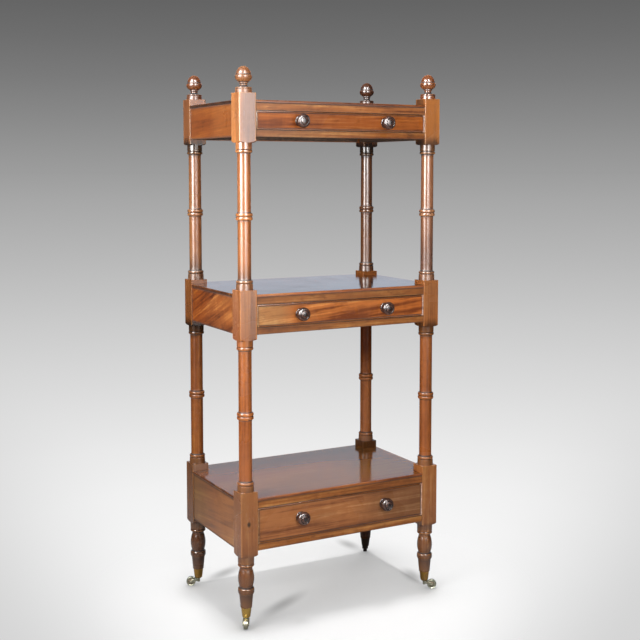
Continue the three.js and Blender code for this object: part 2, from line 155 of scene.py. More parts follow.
def capped(grid, wear, close_rows=False):
    """A grid of rows and columns as a closed skin: quads between the rows and a flat cap at each end."""
    rows, columns = grid.shape[:2]
    faces = ring_faces(rows, columns, close_rows=close_rows)
    if not close_rows:
        last = (rows - 1) * columns
        faces.append(list(range(columns - 1, -1, -1)))
        faces.append(list(range(last, last + columns)))
    return grid.reshape(-1, 3), faces, np.broadcast_to(wear, (rows, columns, 2)).reshape(-1, 2)


def build(name, skins, body, material, replaces=(), trim=None):
    """One object from several closed skins, in metres, riding on a body of the frame. Attributes
    hold how far each point lies in a groove and on an edge. Trim is a second material and the
    range of faces that takes it."""
    start, points, faces, wear = 0, [], [], []
    for skin_points, skin_faces, skin_wear in skins:
        points.append(skin_points)
        wear.append(skin_wear)
        faces += [[corner + start for corner in face] for face in skin_faces]
        start += len(skin_points)
    mesh = bpy.data.meshes.new(name)
    mesh.from_pydata(np.vstack(points).tolist(), [], faces)
    flat = np.vstack(wear)
    for label, values in (("groove", flat[:, 0]), ("edge", flat[:, 1])):
        mesh.attributes.new(label, "FLOAT", "POINT").data.foreach_set("value", values.astype(np.float32))
    mesh.shade_smooth()
    mesh.set_sharp_from_angle(angle=math.radians(SHARP))
    mesh.materials.append(material)
    if trim:
        mesh.materials.append(trim[0])
        index = np.zeros(len(mesh.polygons), np.int32)
        index[slice(*trim[1])] = 1
        mesh.polygons.foreach_set("material_index", index)
    piece = bpy.data.objects.new(name, mesh)
    bpy.context.scene.collection.objects.link(piece)
    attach(piece, body)
    if replaces:
        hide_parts(*replaces)
    return piece


def eased(corners, steps=4):
    """A polyline of (a, b, rounding) corners with each inner corner rounded: it gives way to the
    quadratic curve (1-t)^2 P + 2t(1-t) C + t^2 Q between points at the rounding's distance from it.
    One more point on each side, a quarter of the rounding further, keeps the shading flat there."""
    longest, further, least = 0.49, 1.25, 0.01
    table = np.asarray(corners, float)
    points, rounding = table[:, :2], table[1:-1, 2:]
    corner = points[1:-1]

    def towards(neighbour, factor):
        step = neighbour - corner
        size = np.maximum(np.linalg.norm(step, axis=1, keepdims=True), 1e-9)
        return (corner + step / size * np.minimum(rounding * factor, longest * size))[:, None]

    before, after = points[:-2], points[2:]
    t = np.linspace(0, 1, steps + 1)[None, :, None]
    curve = (1 - t) ** 2 * towards(before, 1) + 2 * t * (1 - t) * corner[:, None] + t**2 * towards(after, 1)
    rounded = np.concatenate([towards(before, further), curve, towards(after, further)], axis=1)
    whole = np.vstack([points[:1], rounded.reshape(-1, 2), points[-1:]])
    apart = np.linalg.norm(np.diff(whole, axis=0), axis=1) > least
    return whole[np.concatenate([[True], apart])]


def relief(profile, reach=5.0, sampling=0.2, full=0.6):
    """How far each point of a turned (radius, height) profile lies in a groove or on a ridge: its
    radius against the mean radius of a window that is reach millimetres high each way. It counts
    as 1 from a difference of full millimetres."""
    radius, height = profile[:, 0], profile[:, 1]
    order = np.argsort(height, kind="stable")
    sample = np.arange(height.min() - reach, height.max() + reach, sampling)
    along = np.interp(sample, height[order], radius[order])
    window = np.hanning(int(2 * reach / sampling))
    mean = np.interp(height, sample, np.convolve(along, window / window.sum(), mode="same"))
    step = (mean - radius) / full
    return np.clip(step, 0, 1), np.clip(-step, 0, 1)


def angles(columns):
    """Angles round a post, u + 0.21 sin 4u, which lie closer together at a square's corners."""
    u = np.arange(columns) / columns * 2 * np.pi
    return u + 0.21 * np.sin(4 * u)


def square_reach(theta, half, power=60):
    """Polar radius of a square with softened corners: half / (|cos|^power + |sin|^power)^(1/power)."""
    return half / (np.abs(np.cos(theta)) ** power + np.abs(np.sin(theta)) ** power) ** (1 / power)


def turned(profile, columns, centre=(0, 0), close_rows=False, axis="Z"):
    """A profile of (radius, height) millimetres turned about a vertical axis through the centre, in
    metres: x = r cos t, y = r sin t, z = h. On axis Y the height runs forwards."""
    radius, height = profile[:, 0, None], profile[:, 1, None]
    theta = np.arange(columns) / columns * 2 * np.pi
    grid = np.stack([radius * np.cos(theta), radius * np.sin(theta), height + 0 * theta], axis=-1)
    if axis == "Y":
        grid = grid[..., [0, 2, 1]] * (1, -1, 1)
    wear = np.stack(relief(profile), axis=-1)[:, None, :]
    return capped(grid * MM + (*centre, 0)[:3], wear, close_rows)


def plate(outline, rows, plane="XY", dirt=(), worn_width=1.2):
    """An outline in millimetres carried through rows of (inset, level): each corner moves inwards
    by the inset along its mitre, the sum of its edges' inward normals over one plus their product.
    On plane XZ the level runs forwards, and on YZ to the right. Edges are worn as far in as their
    width, and dirt with painted shade lies round each given (inset, level, reach)."""
    points = np.asarray(outline, float)
    edge = np.roll(points, -1, axis=0) - points
    edge /= np.linalg.norm(edge, axis=1, keepdims=True)
    inward = np.stack([-edge[:, 1], edge[:, 0]], axis=1)
    before = np.roll(inward, 1, axis=0)
    mitre = (before + inward) / (1 + (before * inward).sum(axis=1, keepdims=True))
    rows = np.asarray(rows, float)
    flat = points[None] + rows[:, 0, None, None] * mitre[None]
    level = np.broadcast_to(rows[:, 1, None, None], (*flat.shape[:2], 1))
    grid = np.concatenate([flat, level], axis=-1)
    if plane == "XZ":
        grid = grid[..., [0, 2, 1]] * (1, -1, 1)
    if plane == "YZ":
        grid = grid[..., [2, 0, 1]]
    run = np.minimum(rows[:, 1] - rows[0, 1], rows[-1, 1] - rows[:, 1])
    edges = np.exp(-(((rows[:, 0] + run) / worn_width) ** 2))
    edges[[0, -1]] = 0
    spots = np.asarray(dirt, float).reshape(-1, 1, 3)
    apart = np.linalg.norm(rows[None] - spots[..., :2], axis=-1) / spots[..., 2]
    groove = np.exp(-(apart**2)).max(axis=0, initial=0)
    wear = np.stack([groove, edges * (1 - groove)], axis=-1)[:, None, :]
    return capped(grid * MM, wear)


def board_rows(low, high, easing, upper=None, inner=0):
    """Rows through a board's thickness, with both faces' edges rounded and a row on each face a
    little further in. Inner adds one more there, as far in as the dirt and painted shade along the
    edges reach."""
    upper, further = easing if upper is None else upper, 2.2
    rows = eased([(easing * further, low, 0), (0, low, easing), (0, high, upper), (upper * further, high, 0)])
    return np.vstack([(inner, low), rows, (inner, high)]) if inner else rows


def oblong(low, high):
    """The four corners of a rectangle, anticlockwise."""
    return [(low[0], low[1]), (high[0], low[1]), (high[0], high[1]), (low[0], high[1])]


def span(node):
    """A node's lowest and highest corners in millimetres."""
    low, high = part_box(node)
    return np.array(low) / MM, np.array(high) / MM


def axis_of(corner):
    """The axis of a post in millimetres."""
    low, high = span(f"upper_post_{corner}")
    return (low + high)[:2] / 2


def block_half():
    """Half the width of the posts' square blocks."""
    low, high = span("upper_post_front_left")
    return (high - low)[0] / 2


def block_foot(tier, sizes):
    """The level of the foot of a tier's four blocks, in millimetres."""
    return span(f"{tier}_front_rail_bottom")[0][2] - sizes.block_foot / MM


# Turned profiles in millimetres: radius, height and rounding of each corner

COLUMN_FOOT = (  # up from the block below: drum and ring
    (20.9, 0, 0), (20.2, 14.9, 0.7), (17.6, 15.5, 0.25), (17.6, 16.1, 0.25),
    (20.5, 16.2, 3.2), (20.5, 22.9, 3.2), (17.0, 23.0, 0.3), (16.6, 24.4, 0.8), (16.2, 30, 6),
)
COLUMN_RING = (  # up from the middle: half of its pair of rings
    (17.2, 0.2, 0.2), (20.5, 0.5, 3.7), (20.5, 8.4, 3.7), (16.7, 8.6, 0.4), (16.2, 14, 6),
)
COLUMN_HEAD = (  # up to the block above: ring and collar
    (16.2, -30, 6), (16.6, -24.6, 0.8), (17.0, -23.9, 0.3), (20.4, -23.8, 3.2), (20.4, -17.0, 3.2),
    (17.4, -16.6, 0.25), (17.4, -16.1, 0.25), (19.8, -15.9, 0.8), (19.9, 0, 0.1),
)
FOOT = (  # up from the castor cup: taper, torus, vase, ring and collar
    (11.6, -0.2, 0), (14.4, 0, 0.5), (17.2, 33.0, 0.4), (18.2, 33.4, 0.4), (18.2, 36.0, 0.3),
    (17.5, 36.3, 0.2), (20.3, 36.5, 5.4), (20.3, 49.3, 5.4), (16.2, 49.6, 0.4), (16.0, 51.2, 0.8),
    (18.6, 59, 9), (20.5, 73, 12), (18.6, 88, 12), (15.3, 98, 8),
    (15.5, 104.0, 0.5), (20.2, 104.2, 2.6), (20.2, 109.6, 2.6), (17.8, 109.9, 0.2),
    (17.8, 110.5, 0.3), (19.9, 110.8, 0.8),
)
FINIAL = (  # up from the post: drum, cone, neck with a bead, disc, cup with its flange, and dome
    (20.2, 0, 0), (20.1, 8.8, 0.6), (18.4, 9.4, 0.3), (18.4, 10.0, 0.3), (20.1, 10.3, 0.9),
    (19.8, 12.8, 1.0), (12.2, 13.6, 0.5), (8.6, 16.4, 0.9),
    (8.0, 17.6, 0.3), (9.4, 17.8, 1.1), (9.4, 20.2, 1.1), (8.0, 20.5, 0.2),
    (8.6, 22.2, 0.8), (10.9, 22.7, 0.5), (11.0, 25.6, 0.6), (12.8, 26.3, 0.4),
    (18.4, 30.6, 3.2), (20.9, 36.6, 4.0), (20.4, 41.0, 1.4), (18.5, 42.3, 0.4), (18.0, 42.9, 0.3),
    (18.1, 45.5, 2.0), (17.2, 49.8, 3), (15.0, 54.4, 3), (11.8, 58.6, 3), (7.6, 61.8, 2.5),
    (3.0, 63.3, 2), (0.05, 63.3, 0),
)
KNOB = (  # forwards from the drawer's face: rose, neck, mushroom head and its button
    (13.2, 0.0, 0), (14.1, 0.6, 0.5), (14.0, 3.4, 0.9), (10.8, 4.6, 0.6),
    (9.4, 6.2, 1.2), (9.4, 8.8, 1.4),
    (13.0, 11.0, 1.2), (16.4, 12.4, 1.4), (16.9, 15.5, 2.0), (16.8, 20.4, 2.6), (14.8, 23.6, 2.0),
    (11.6, 24.7, 0.5), (11.0, 24.0, 0.3), (10.0, 24.2, 0.3), (9.4, 25.8, 0.7),
    (5.2, 27.0, 2.4), (0.05, 27.35, 0),
)
CUP_BASE = (  # up from the castor cup's foot
    (3.0, 0, 0), (8.0, 0, 1.0), (10.2, 1.9, 1.8),
)
CUP_LIP = (  # up to its top, and down inside
    (12.9, -1.6, 0.2), (13.2, -1.3, 0.2), (13.2, -0.05, 0.2), (11.2, -0.05, 0.2), (10.9, -2.0, 0),
)
WHEEL = (  # outwards along one side of a wheel: raised boss, dished side and crowned tread
    (2.3, 5.5, 0.2), (4.6, 5.5, 0.4), (5.2, 4.6, 0.4), (9.6, 4.4, 0.5),
    (10.4, 5.3, 0.4), (11.8, 5.2, 0.8), (12.5, 2.8, 1.2),
)
AXLE = (  # from the middle of an axle to the end of its rivet
    (2.0, 7.9, 0.1), (2.2, 8.0, 0.2), (1.9, 8.8, 0.5), (0.05, 8.9, 0),
)


def raised(corners, rise):
    """A profile's corners moved up."""
    return [(radius, height + rise, rounding) for radius, height, rounding in corners]


def both_ways(corners):
    """A profile's corners up from height 0, after the same ones down to it."""
    return [*((radius, -height, rounding) for radius, height, rounding in reversed(corners)), *corners]


def column_corners(bottom, top):
    """A column from the block below to the block above, with a pair of rings half way."""
    middle = (bottom + top) / 2
    return [*raised(COLUMN_FOOT, bottom), *raised(both_ways(COLUMN_RING), middle), *raised(COLUMN_HEAD, top)]


def foot_corners(bottom, top):
    """A foot from the castor cup to the block."""
    return [*raised(FOOT, bottom), (20.4, top, 0.1)]


def post_section(corners, low, top, centre, columns, shoulder, arris):
    """A post section on one grid: at each level its radius is the lesser of the turned radius and
    the square block's polar radius, as a turner leaves it. Low and top are the block's levels. A
    turned shoulder ends it below, and its upper edge is rounded in."""
    half = block_half()
    beyond = half * 1.5
    profile = eased(corners)
    lift = np.linspace(0, np.pi / 2, 4)
    rows = np.vstack(
        [
            np.column_stack([profile, np.zeros(len(profile))]),
            [(shoulder + out, low + rise, 0) for out, rise in ((0, 0), (3.4, 1.0), (5.6, 2.1))],
            [(beyond, level, 0) for level in (low + 3.8, low + 4.6, top - 4 * arris, top - 1.3 * arris)],
            [(beyond, top - arris * (1 - math.sin(t)), arris * (1 - math.cos(t))) for t in lift],
            [(radius, top, arris * 1.4) for radius in (beyond, half - 1.5, 10)],
        ]
    )
    theta = angles(columns)
    radius = np.minimum(rows[:, 0, None], square_reach(theta[None], half - rows[:, 2, None]))
    level = rows[:, 1, None] + 0 * radius
    x, y = radius * np.cos(theta) + centre[0], radius * np.sin(theta) + centre[1]
    groove, ridge = relief(profile)
    plain = np.zeros(len(rows) - len(profile))
    groove = np.concatenate([groove, plain])[:, None] + 0 * radius
    ridge = np.concatenate([0.5 * ridge, plain])[:, None] + 0 * radius
    block = (np.arange(len(rows)) >= len(profile))[:, None]
    corner = np.clip((radius / half - 1.30) / 0.08, 0, 1) * block
    upper_edge = np.exp(-((top - level) ** 2)) * block * (radius > half - 3)
    edge = np.clip(ridge + corner + upper_edge, 0, 1)
    return capped(np.stack([x, y, level], axis=-1) * MM, np.stack([groove, edge], axis=-1))


# Shader nodes


class Shading:
    """Adds nodes to a material or world and links them."""

    def __init__(self, owner):
        owner.use_nodes = True
        self.tree = owner.node_tree
        self.tree.nodes.clear()

    def add(self, kind, inputs=None, **settings):
        """One node: settings are its own values, and inputs are values or the sockets that feed it."""
        node = self.tree.nodes.new(kind)
        for key, value in settings.items():
            setattr(node, key, value)
        for key, value in (inputs or {}).items():
            if isinstance(value, bpy.types.NodeSocket):
                self.tree.links.new(value, node.inputs[key])
            else:
                node.inputs[key].default_value = value
        return node

    def math(self, operation, first, second=0.5, third=0.5, clamp=False):
        """One arithmetic step."""
        inputs = {0: first, 1: second, 2: third}
        return self.add("ShaderNodeMath", inputs, operation=operation, use_clamp=clamp).outputs[0]

    def vector(self, operation, first, second=(0, 0, 0)):
        """A number from one or two vectors."""
        return self.add("ShaderNodeVectorMath", {0: first, 1: second}, operation=operation).outputs["Value"]

    def remap(self, value, low, high, to_low=0.0, to_high=1.0, curve="LINEAR"):
        """Carries a value from one range to another, clamped."""
        inputs = {"Value": value, "From Min": low, "From Max": high, "To Min": to_low, "To Max": to_high}
        return self.add("ShaderNodeMapRange", inputs, clamp=True, interpolation_type=curve).outputs[0]

    def oval(self, place, centre, reach, turn=0.0):
        """How far a place lies from an oval's centre, where its rim is 1. Both are in metres, and
        the oval is turned about the vertical."""
        inputs = {"Vector": place, "Location": centre, "Rotation": (0, 0, turn), "Scale": reach}
        return self.vector("LENGTH", self.add("ShaderNodeMapping", inputs, vector_type="TEXTURE").outputs[0])

    def ramp(self, value, stops):
        """A colour ramp from (position, colour) stops."""
        node = self.add("ShaderNodeValToRGB", {"Fac": value})
        elements = node.color_ramp.elements
        while len(elements) < len(stops):
            elements.new(0.5)
        for element, (position, colour) in zip(elements, stops):
            element.position = position
            element.color = (*colour, 1)
        return node.outputs["Color"]

    def greys(self, value, stops):
        """A ramp from (position, grey) stops."""
        return self.ramp(value, [(position, (grey,) * 3) for position, grey in stops])

    def grey(self, value):
        """A value as a colour."""
        return self.add("ShaderNodeCombineColor", {0: value, 1: value, 2: value}).outputs[0]

    def mix(self, factor, first, second, blend_type="MIX"):
        """Mixes two colours."""
        node = self.add("ShaderNodeMix", data_type="RGBA", blend_type=blend_type, clamp_factor=True)
        for socket, value in ((0, factor), (6, first), (7, second)):
            if isinstance(value, bpy.types.NodeSocket):
                self.tree.links.new(value, node.inputs[socket])
            elif socket:
                node.inputs[socket].default_value = (*value, 1)
            else:
                node.inputs[socket].default_value = value
        return node.outputs[2]

    def times(self, first, second):
        """Two colours multiplied."""
        return self.mix(1.0, first, second, "MULTIPLY")

    def noise(self, place, scale, offset=(0, 0, 0), detail=4.0, distortion=0.0):
        """Noise on the object's own coordinates, stretched by a scale for each axis, per metre."""
        mapping = self.add("ShaderNodeMapping", {"Vector": place, "Location": offset, "Scale": scale})
        inputs = {
            "Vector": mapping.outputs[0],
            "Scale": 1.0,
            "Detail": detail,
            "Roughness": 0.55,
            "Distortion": distortion,
        }
        return self.add("ShaderNodeTexNoise", inputs).outputs["Fac"]

    def worn(self, name):
        """A wear attribute of the mesh: groove or edge."""
        return self.add("ShaderNodeAttribute", attribute_name=name).outputs["Fac"]

    def bump(self, height, strength, distance):
        """A normal from a height, with its distance in metres."""
        inputs = {"Height": height, "Strength": strength, "Distance": distance}
        return self.add("ShaderNodeBump", inputs).outputs[0]

    def close(self, surface):
        """Links a surface to the output."""
        self.add("ShaderNodeOutputMaterial", {"Surface": surface})

    def principled(self, colour, roughness, normal, others):
        """Ends a material in one principled surface, with its other sockets by name."""
        inputs = {"Base Color": colour, "Roughness": roughness, "Normal": normal, **others}
        self.close(self.add("ShaderNodeBsdfPrincipled", inputs).outputs[0])


# Grooves and the lines along joints are darkened to this: partly old wax, partly painted shade
WAX_AND_SHADE = (0.016, 0.006, 0.004)
# A lower post darkens to this towards the floor: painted shade
FOOT_SHADE = (0.03, 0.012, 0.008)


def blank(name):
    """A new material, its shading and the object's own coordinates."""
    material = bpy.data.materials.new(name)
    nodes = Shading(material)
    return material, nodes, nodes.add("ShaderNodeTexCoord").outputs["Object"]


def stretched(along, across, length_axis):
    """Noise scales with one value along the grain and another across it."""
    return tuple(along if axis == length_axis else across for axis in "XYZ")


def mahogany(
    name, grain, seed, shade=1.0, figure=0.5, streak=0.5, roughness=0.3, tint=(1, 1, 1), tilt=0.0,
    gloss=0.5, spots=(), fade=None, contrast=1.0,
):
    """Old polished mahogany. Broad figure, narrow and fine streaks and cross ripple choose the
    colour from dark to light. Pores, smoky patches and blots darken it, grooves and the lines along
    joints are darkened, partly as old wax and partly as painted shade, edges are worn paler, and the
    polish is uneven in gloss and in level. Contrast scales the figure. Each spot (centre, reach,
    factors), in millimetres, scales the colour of an oval: a few for the timber's own tone, most as
    painted light, shade and sheen. Fade darkens it towards its foot, between two levels, as painted
    shade."""
    tones = bpy.context.scene.etagere_finish
    material, nodes, still = blank(name)
    place = still
    if tilt:
        turn = (tilt, 0, 0) if grain == "Y" else (0, tilt, 0)
        place = nodes.add("ShaderNodeMapping", {"Vector": still, "Rotation": turn}).outputs[0]
    offset = (seed * 3.7, seed * 1.9, seed * 5.3)
    broad = nodes.noise(place, stretched(1.9, 15, grain), offset, detail=3, distortion=1.3)
    narrow = nodes.noise(place, stretched(3.5, 85, grain), offset, detail=5, distortion=0.35)
    ripple = nodes.noise(place, stretched(46, 16, grain), offset, detail=2, distortion=0.6)
    fine = nodes.noise(place, stretched(6, 240, grain), offset, detail=3)
    pores = nodes.noise(place, stretched(70, 1100, grain), offset, detail=2)
    blots = nodes.noise(place, stretched(16, 60, grain), offset, detail=4, distortion=0.9)
    patches = nodes.noise(place, (5, 5, 5), offset, detail=3, distortion=0.8)
    sway = nodes.noise(place, (22, 22, 22), offset, detail=1)

    level = nodes.math("MULTIPLY", broad, figure)
    level = nodes.math("MULTIPLY_ADD", narrow, streak, level)
    level = nodes.math("MULTIPLY_ADD", ripple, 0.12, level)
    level = nodes.math("MULTIPLY_ADD", fine, 0.3, level)
    middle, spread = (figure + streak + 0.12 + 0.3) / 2, 0.15 / contrast
    share = np.array(tint) * shade
    dark, mid, light = (np.array(colour) * share for colour in (tones.dark, tones.mid, tones.light))
    level = nodes.remap(level, middle - spread, middle + spread)
    colour = nodes.ramp(level, [(0.0, dark), (0.45, mid), (0.55, mid), (1.0, light)])
    pore = nodes.remap(pores, 0.60, 0.74)
    colour = nodes.mix(nodes.math("MULTIPLY", pore, 0.5 * contrast**0.75), colour, dark)
    colour = nodes.mix(nodes.remap(patches, 0.5, 0.72, 0, 0.45 * contrast), colour, 0.55 * mid)
    colour = nodes.mix(nodes.remap(blots, 0.54, 0.70, 0, 0.6 * contrast**2), colour, 0.8 * dark)
    # Each spot scales an oval's colour: a few for the timber's own tone, most as painted light, shade and
    # sheen
    for centre, reach, factors in spots:
        away = nodes.oval(still, np.array(centre) * MM, np.array(reach) * MM)
        away = nodes.math("MULTIPLY_ADD", nodes.math("SUBTRACT", narrow, 0.5), 0.9, away)
        colour = nodes.mix(nodes.remap(away, 0.55, 1.25, 1, 0), colour, nodes.times(colour, factors))
    # Painted shade: darker towards the foot, between the fade's two levels
    if fade:
        rise = nodes.add("ShaderNodeSeparateXYZ", {0: still}).outputs["Z"]
        colour = nodes.mix(nodes.remap(rise, fade[0] * MM, fade[1] * MM, 0.9, 0), colour, FOOT_SHADE)
    groove, edge = nodes.worn("groove"), nodes.worn("edge")
    # Grooves and the lines along joints darken: partly old wax, partly painted shade
    colour = nodes.mix(nodes.math("MULTIPLY", groove, 0.9), colour, WAX_AND_SHADE)
    colour = nodes.mix(nodes.math("MULTIPLY", edge, 0.35), colour, 1.2 * light)

    rough = nodes.remap(patches, 0.3, 0.7, roughness - 0.05, roughness + 0.07)
    rough = nodes.math("MULTIPLY_ADD", groove, 0.35, rough)
    rough = nodes.math("MULTIPLY_ADD", pore, 0.1 * contrast, rough)
    height = nodes.math("MULTIPLY_ADD", narrow, 0.12 * contrast, nodes.math("MULTIPLY", sway, 0.22))
    height = nodes.math("MULTIPLY_ADD", pore, -0.07 * contrast, height)
    normal = nodes.bump(height, 0.3 * min(1, 1.5 * contrast), 0.001)
    nodes.principled(colour, rough, normal, {"IOR": 1.5, "Specular IOR Level": gloss})
    return material


def plain_wood(name, grain, seed, colour, spread=0.35, roughness=0.62):
    """Unpolished wood: streaks, pores and stains, with no gloss."""
    material, nodes, place = blank(name)
    offset = (seed * 2.3, seed * 4.1, seed * 1.7)
    broad = nodes.noise(place, stretched(2, 22, grain), offset, detail=3, distortion=0.8)
    narrow = nodes.noise(place, stretched(6, 160, grain), offset)
    stains = nodes.noise(place, (9, 9, 9), offset, distortion=1.0)
    pores = nodes.noise(place, stretched(40, 700, grain), offset, detail=2)
    level = nodes.math("MULTIPLY_ADD", narrow, 0.5, nodes.math("MULTIPLY", broad, 0.5))
    base = np.array(colour)
    stops = [(0.0, base * (1 - spread)), (0.5, base), (1.0, base * (1 + 0.6 * spread))]
    wood = nodes.ramp(nodes.remap(level, 0.41, 0.59), stops)
    wood = nodes.mix(nodes.remap(pores, 0.58, 0.7, 0, 0.45), wood, base * 0.4)
    wood = nodes.mix(nodes.remap(stains, 0.5, 0.7, 0, 0.45), wood, base * 0.45)
    wood = nodes.mix(nodes.math("MULTIPLY", nodes.worn("edge"), 0.35), wood, base * 0.6)
    rough = nodes.remap(stains, 0.3, 0.7, roughness - 0.08, roughness + 0.12)
    nodes.principled(wood, rough, nodes.bump(level, 0.3, 0.0006), {"IOR": 1.45})
    return material


def knob_polish(name):
    """Blackened wood under a hard polish, rubbed a little browner on the rims."""
    material, nodes, place = blank(name)
    streak = nodes.noise(place, (180, 40, 180), (1, 2, 3))
    rubbed = nodes.noise(place, (60, 60, 60), (4, 1, 2), detail=3)
    base = np.array(bpy.context.scene.etagere_finish.knob)
    colour = nodes.ramp(nodes.remap(streak, 0.35, 0.7), [(0.0, base * 0.6), (1.0, base * 2.4)])
    worn = nodes.math("MULTIPLY", nodes.worn("edge"), nodes.remap(rubbed, 0.4, 0.65, 0.05, 0.5))
    colour = nodes.mix(worn, colour, (0.14, 0.055, 0.03))
    # Darker in the grooves: painted shade
    colour = nodes.mix(nodes.math("MULTIPLY", nodes.worn("groove"), 0.7), colour, (0.008, 0.005, 0.004))
    rough = nodes.remap(rubbed, 0.3, 0.7, 0.2, 0.28)
    nodes.principled(colour, rough, nodes.bump(rubbed, 0.06, 0.0005), {"IOR": 1.5, "Specular IOR Level": 0.7})
    return material


def brass(name, clean, patina, seed, tarnish, roughness):
    """Old brass: clean places and brown patina share the surface by noise, grooves hold the dirt,
    and edges are rubbed bright."""
    material, nodes, place = blank(name)
    offset = (seed, seed * 2, seed * 3)
    blotch = nodes.noise(place, (95, 95, 60), offset, distortion=0.6)
    speck = nodes.noise(place, (600, 600, 600), offset, detail=3)
    cover = nodes.remap(nodes.math("MULTIPLY_ADD", speck, 0.25, blotch), tarnish, tarnish + 0.2)
    cover = nodes.math("ADD", cover, nodes.math("MULTIPLY", nodes.worn("groove"), 0.8), clamp=True)
    cover = nodes.math("SUBTRACT", cover, nodes.math("MULTIPLY", nodes.worn("edge"), 0.5), clamp=True)
    colour = nodes.mix(cover, clean, patina)
    rough = nodes.remap(cover, 0, 1, roughness, roughness + 0.3)
    metal = nodes.remap(cover, 0, 1, 1.0, 0.45)
    nodes.principled(colour, rough, nodes.bump(speck, 0.15, 0.0003), {"Metallic": metal})
    return material


def finish(name, make, *values, **options):
    """The material of that name, made the first time that it is asked for."""
    return bpy.data.materials.get(name) or make(name, *values, **options)


# Looks of single pieces. A spot on one is an oval whose colour is scaled, a few for the timber's
# own tone and most as painted light, shade and sheen: its place, its reach in millimetres and its
# factors on red, green and blue.

# Painted shade under the tiers' blocks and on faces turned inwards, deeper at the back
BACK_SHADE = (0.12, 0.15, 0.22)
FRONT_SHADE = (0.3, 0.33, 0.4)

# A post section's shade, which is painted light and shade, lightest at the front left and darkest
# at the back right, and its gloss, then the reach and tint of painted shade on it: on a lower
# section's collar, and at the foot of a column
POST_TIMBER = {
    ("lower", "front_left"): (0.85, 0.65, 12, (0.75, 0.85, 1.1)),
    ("lower", "front_right"): (0.93, 0.65, 12, (0.5, 0.55, 0.8)),
    ("lower", "back_right"): (0.18, 0.15, 12, (0.7, 0.85, 1.1)),
    ("lower", "back_left"): (0.47, 0.6, 12, (0.7, 0.85, 1.1)),
    ("middle", "front_left"): (1.27, 0.7, 24, (0.45, 0.58, 0.9)),
    ("middle", "front_right"): (0.98, 0.4, 24, (0.6, 0.82, 1.5)),
    ("middle", "back_right"): (0.62, 0.2, 24, (0.6, 0.82, 1.5)),
    ("middle", "back_left"): (0.68, 0.45, 24, (0.6, 0.82, 1.5)),
    ("upper", "front_left"): (1.5, 0.8, 52, (0.48, 0.55, 0.78)),
    ("upper", "front_right"): (1.12, 0.6, 150, (0.6, 0.68, 0.95)),
    ("upper", "back_right"): (0.42, 0.75, 20, (0.7, 0.7, 0.8)),
    ("upper", "back_left"): (0.9, 0.7, 60, (0.45, 0.5, 0.75)),
}

# More spots on single post sections: the face or the axis that each lies on, how far to the right
# of the axis or behind it, and above the block's foot, then its reach and factors. On the lower
# front left section the spot on the front is a dark knot in the timber; the rest are painted light,
# shade and sheen: paler and darker faces, a bluish painted sheen, painted shade under the middle
# tier at the back right, and on the front right block's inward face
POST_SPOTS = {
    ("lower", "front_left"): [
        ("front", -2, 82.5, (5, 12, 7), (0.05, 0.06, 0.1)),
        ("left", 6, 82.5, (8, 30, 150), (0.78, 0.72, 0.66)),
    ],
    ("middle", "front_left"): [
        ("left", 6, 62, (8, 30, 120), (0.92, 1.05, 1.9)),
        ("front", 6, 62, (30, 26, 120), (0.86, 0.96, 1.0)),
    ],
    ("middle", "front_right"): [("front", 0, 62, (40, 26, 120), (1.02, 1.16, 1.5))],
    ("middle", "back_right"): [
        ("axis", 0, -48, (60, 60, 110), (0.38, 0.27, 0.16)),
        ("axis", 0, -283, (60, 60, 120), (1.22, 1.4, 2.1)),
    ],
    ("upper", "front_left"): [
        ("front", 6, 61, (30, 26, 110), (0.45, 0.5, 0.75)),
        ("left", 6, 61, (8, 30, 120), (1.5, 1.7, 1.85)),
    ],
    ("upper", "front_right"): [
        ("front", 8, 61, (40, 24, 75), (1.2, 1.15, 0.75)),
        ("axis", 0, -189, (60, 60, 230), (0.84, 1.0, 1.6)),
        ("left", 14, 61, (7, 30, 200), FRONT_SHADE),
    ],
}

# A finial's shade, which is painted light and shade, lightest at the front left and darkest at the
# back right, then its tint, roughness and gloss
FINIALS = {
    "front_left": (0.8, (1, 1.3, 1.9), 0.36, 0.5),
    "front_right": (0.62, (1, 1.1, 1.5), 0.28, 0.7),
    "back_right": (0.22, (1, 1.1, 1.5), 0.28, 0.7),
    "back_left": (0.5, (1, 1.1, 1.5), 0.28, 0.7),
}

# The shade of a board's faces and of its edges, and the contrast of its figure
BOARDS = {"lower": (0.8, 0.9, 0.25), "middle": (0.45, 1.1, 0.25), "upper": (0.6, 0.65, 0.8)}

# Spots on the lower board: place to the right of and behind the middle of the frame. Near the front
# a painted light, at the back painted shade, and on the right less red
LOWER_BOARD_SPOTS = (
    (-20, -60, (270, 120, 60), (1.5, 1.9, 1.4)),
    (40, 190, (400, 120, 60), (0.45, 0.62, 0.75)),
    (230, 0, (150, 260, 60), (0.82, 0.97, 1.0)),
)

# A side panel's shade, tilt of the grain, tint and contrast, and the factors near its front and
# back: a painted light and sheen near the front, and painted shade near the back of the lower two
SIDE_PANELS = {
    "lower": (0.75, 0.1, (1, 1.25, 1.4), 0.6, (1.25, 1.35, 1.4), (0.8, 0.95, 0.95)),
    "middle": (0.95, 0.4, (1, 1, 1), 1.0, (1.25, 1.35, 1.4), (0.97, 0.82, 0.5)),
    "upper": (1.0, 0.06, (1, 0.94, 0.62), 0.6, (1.2, 1.42, 2.1), (1, 1, 1)),
}

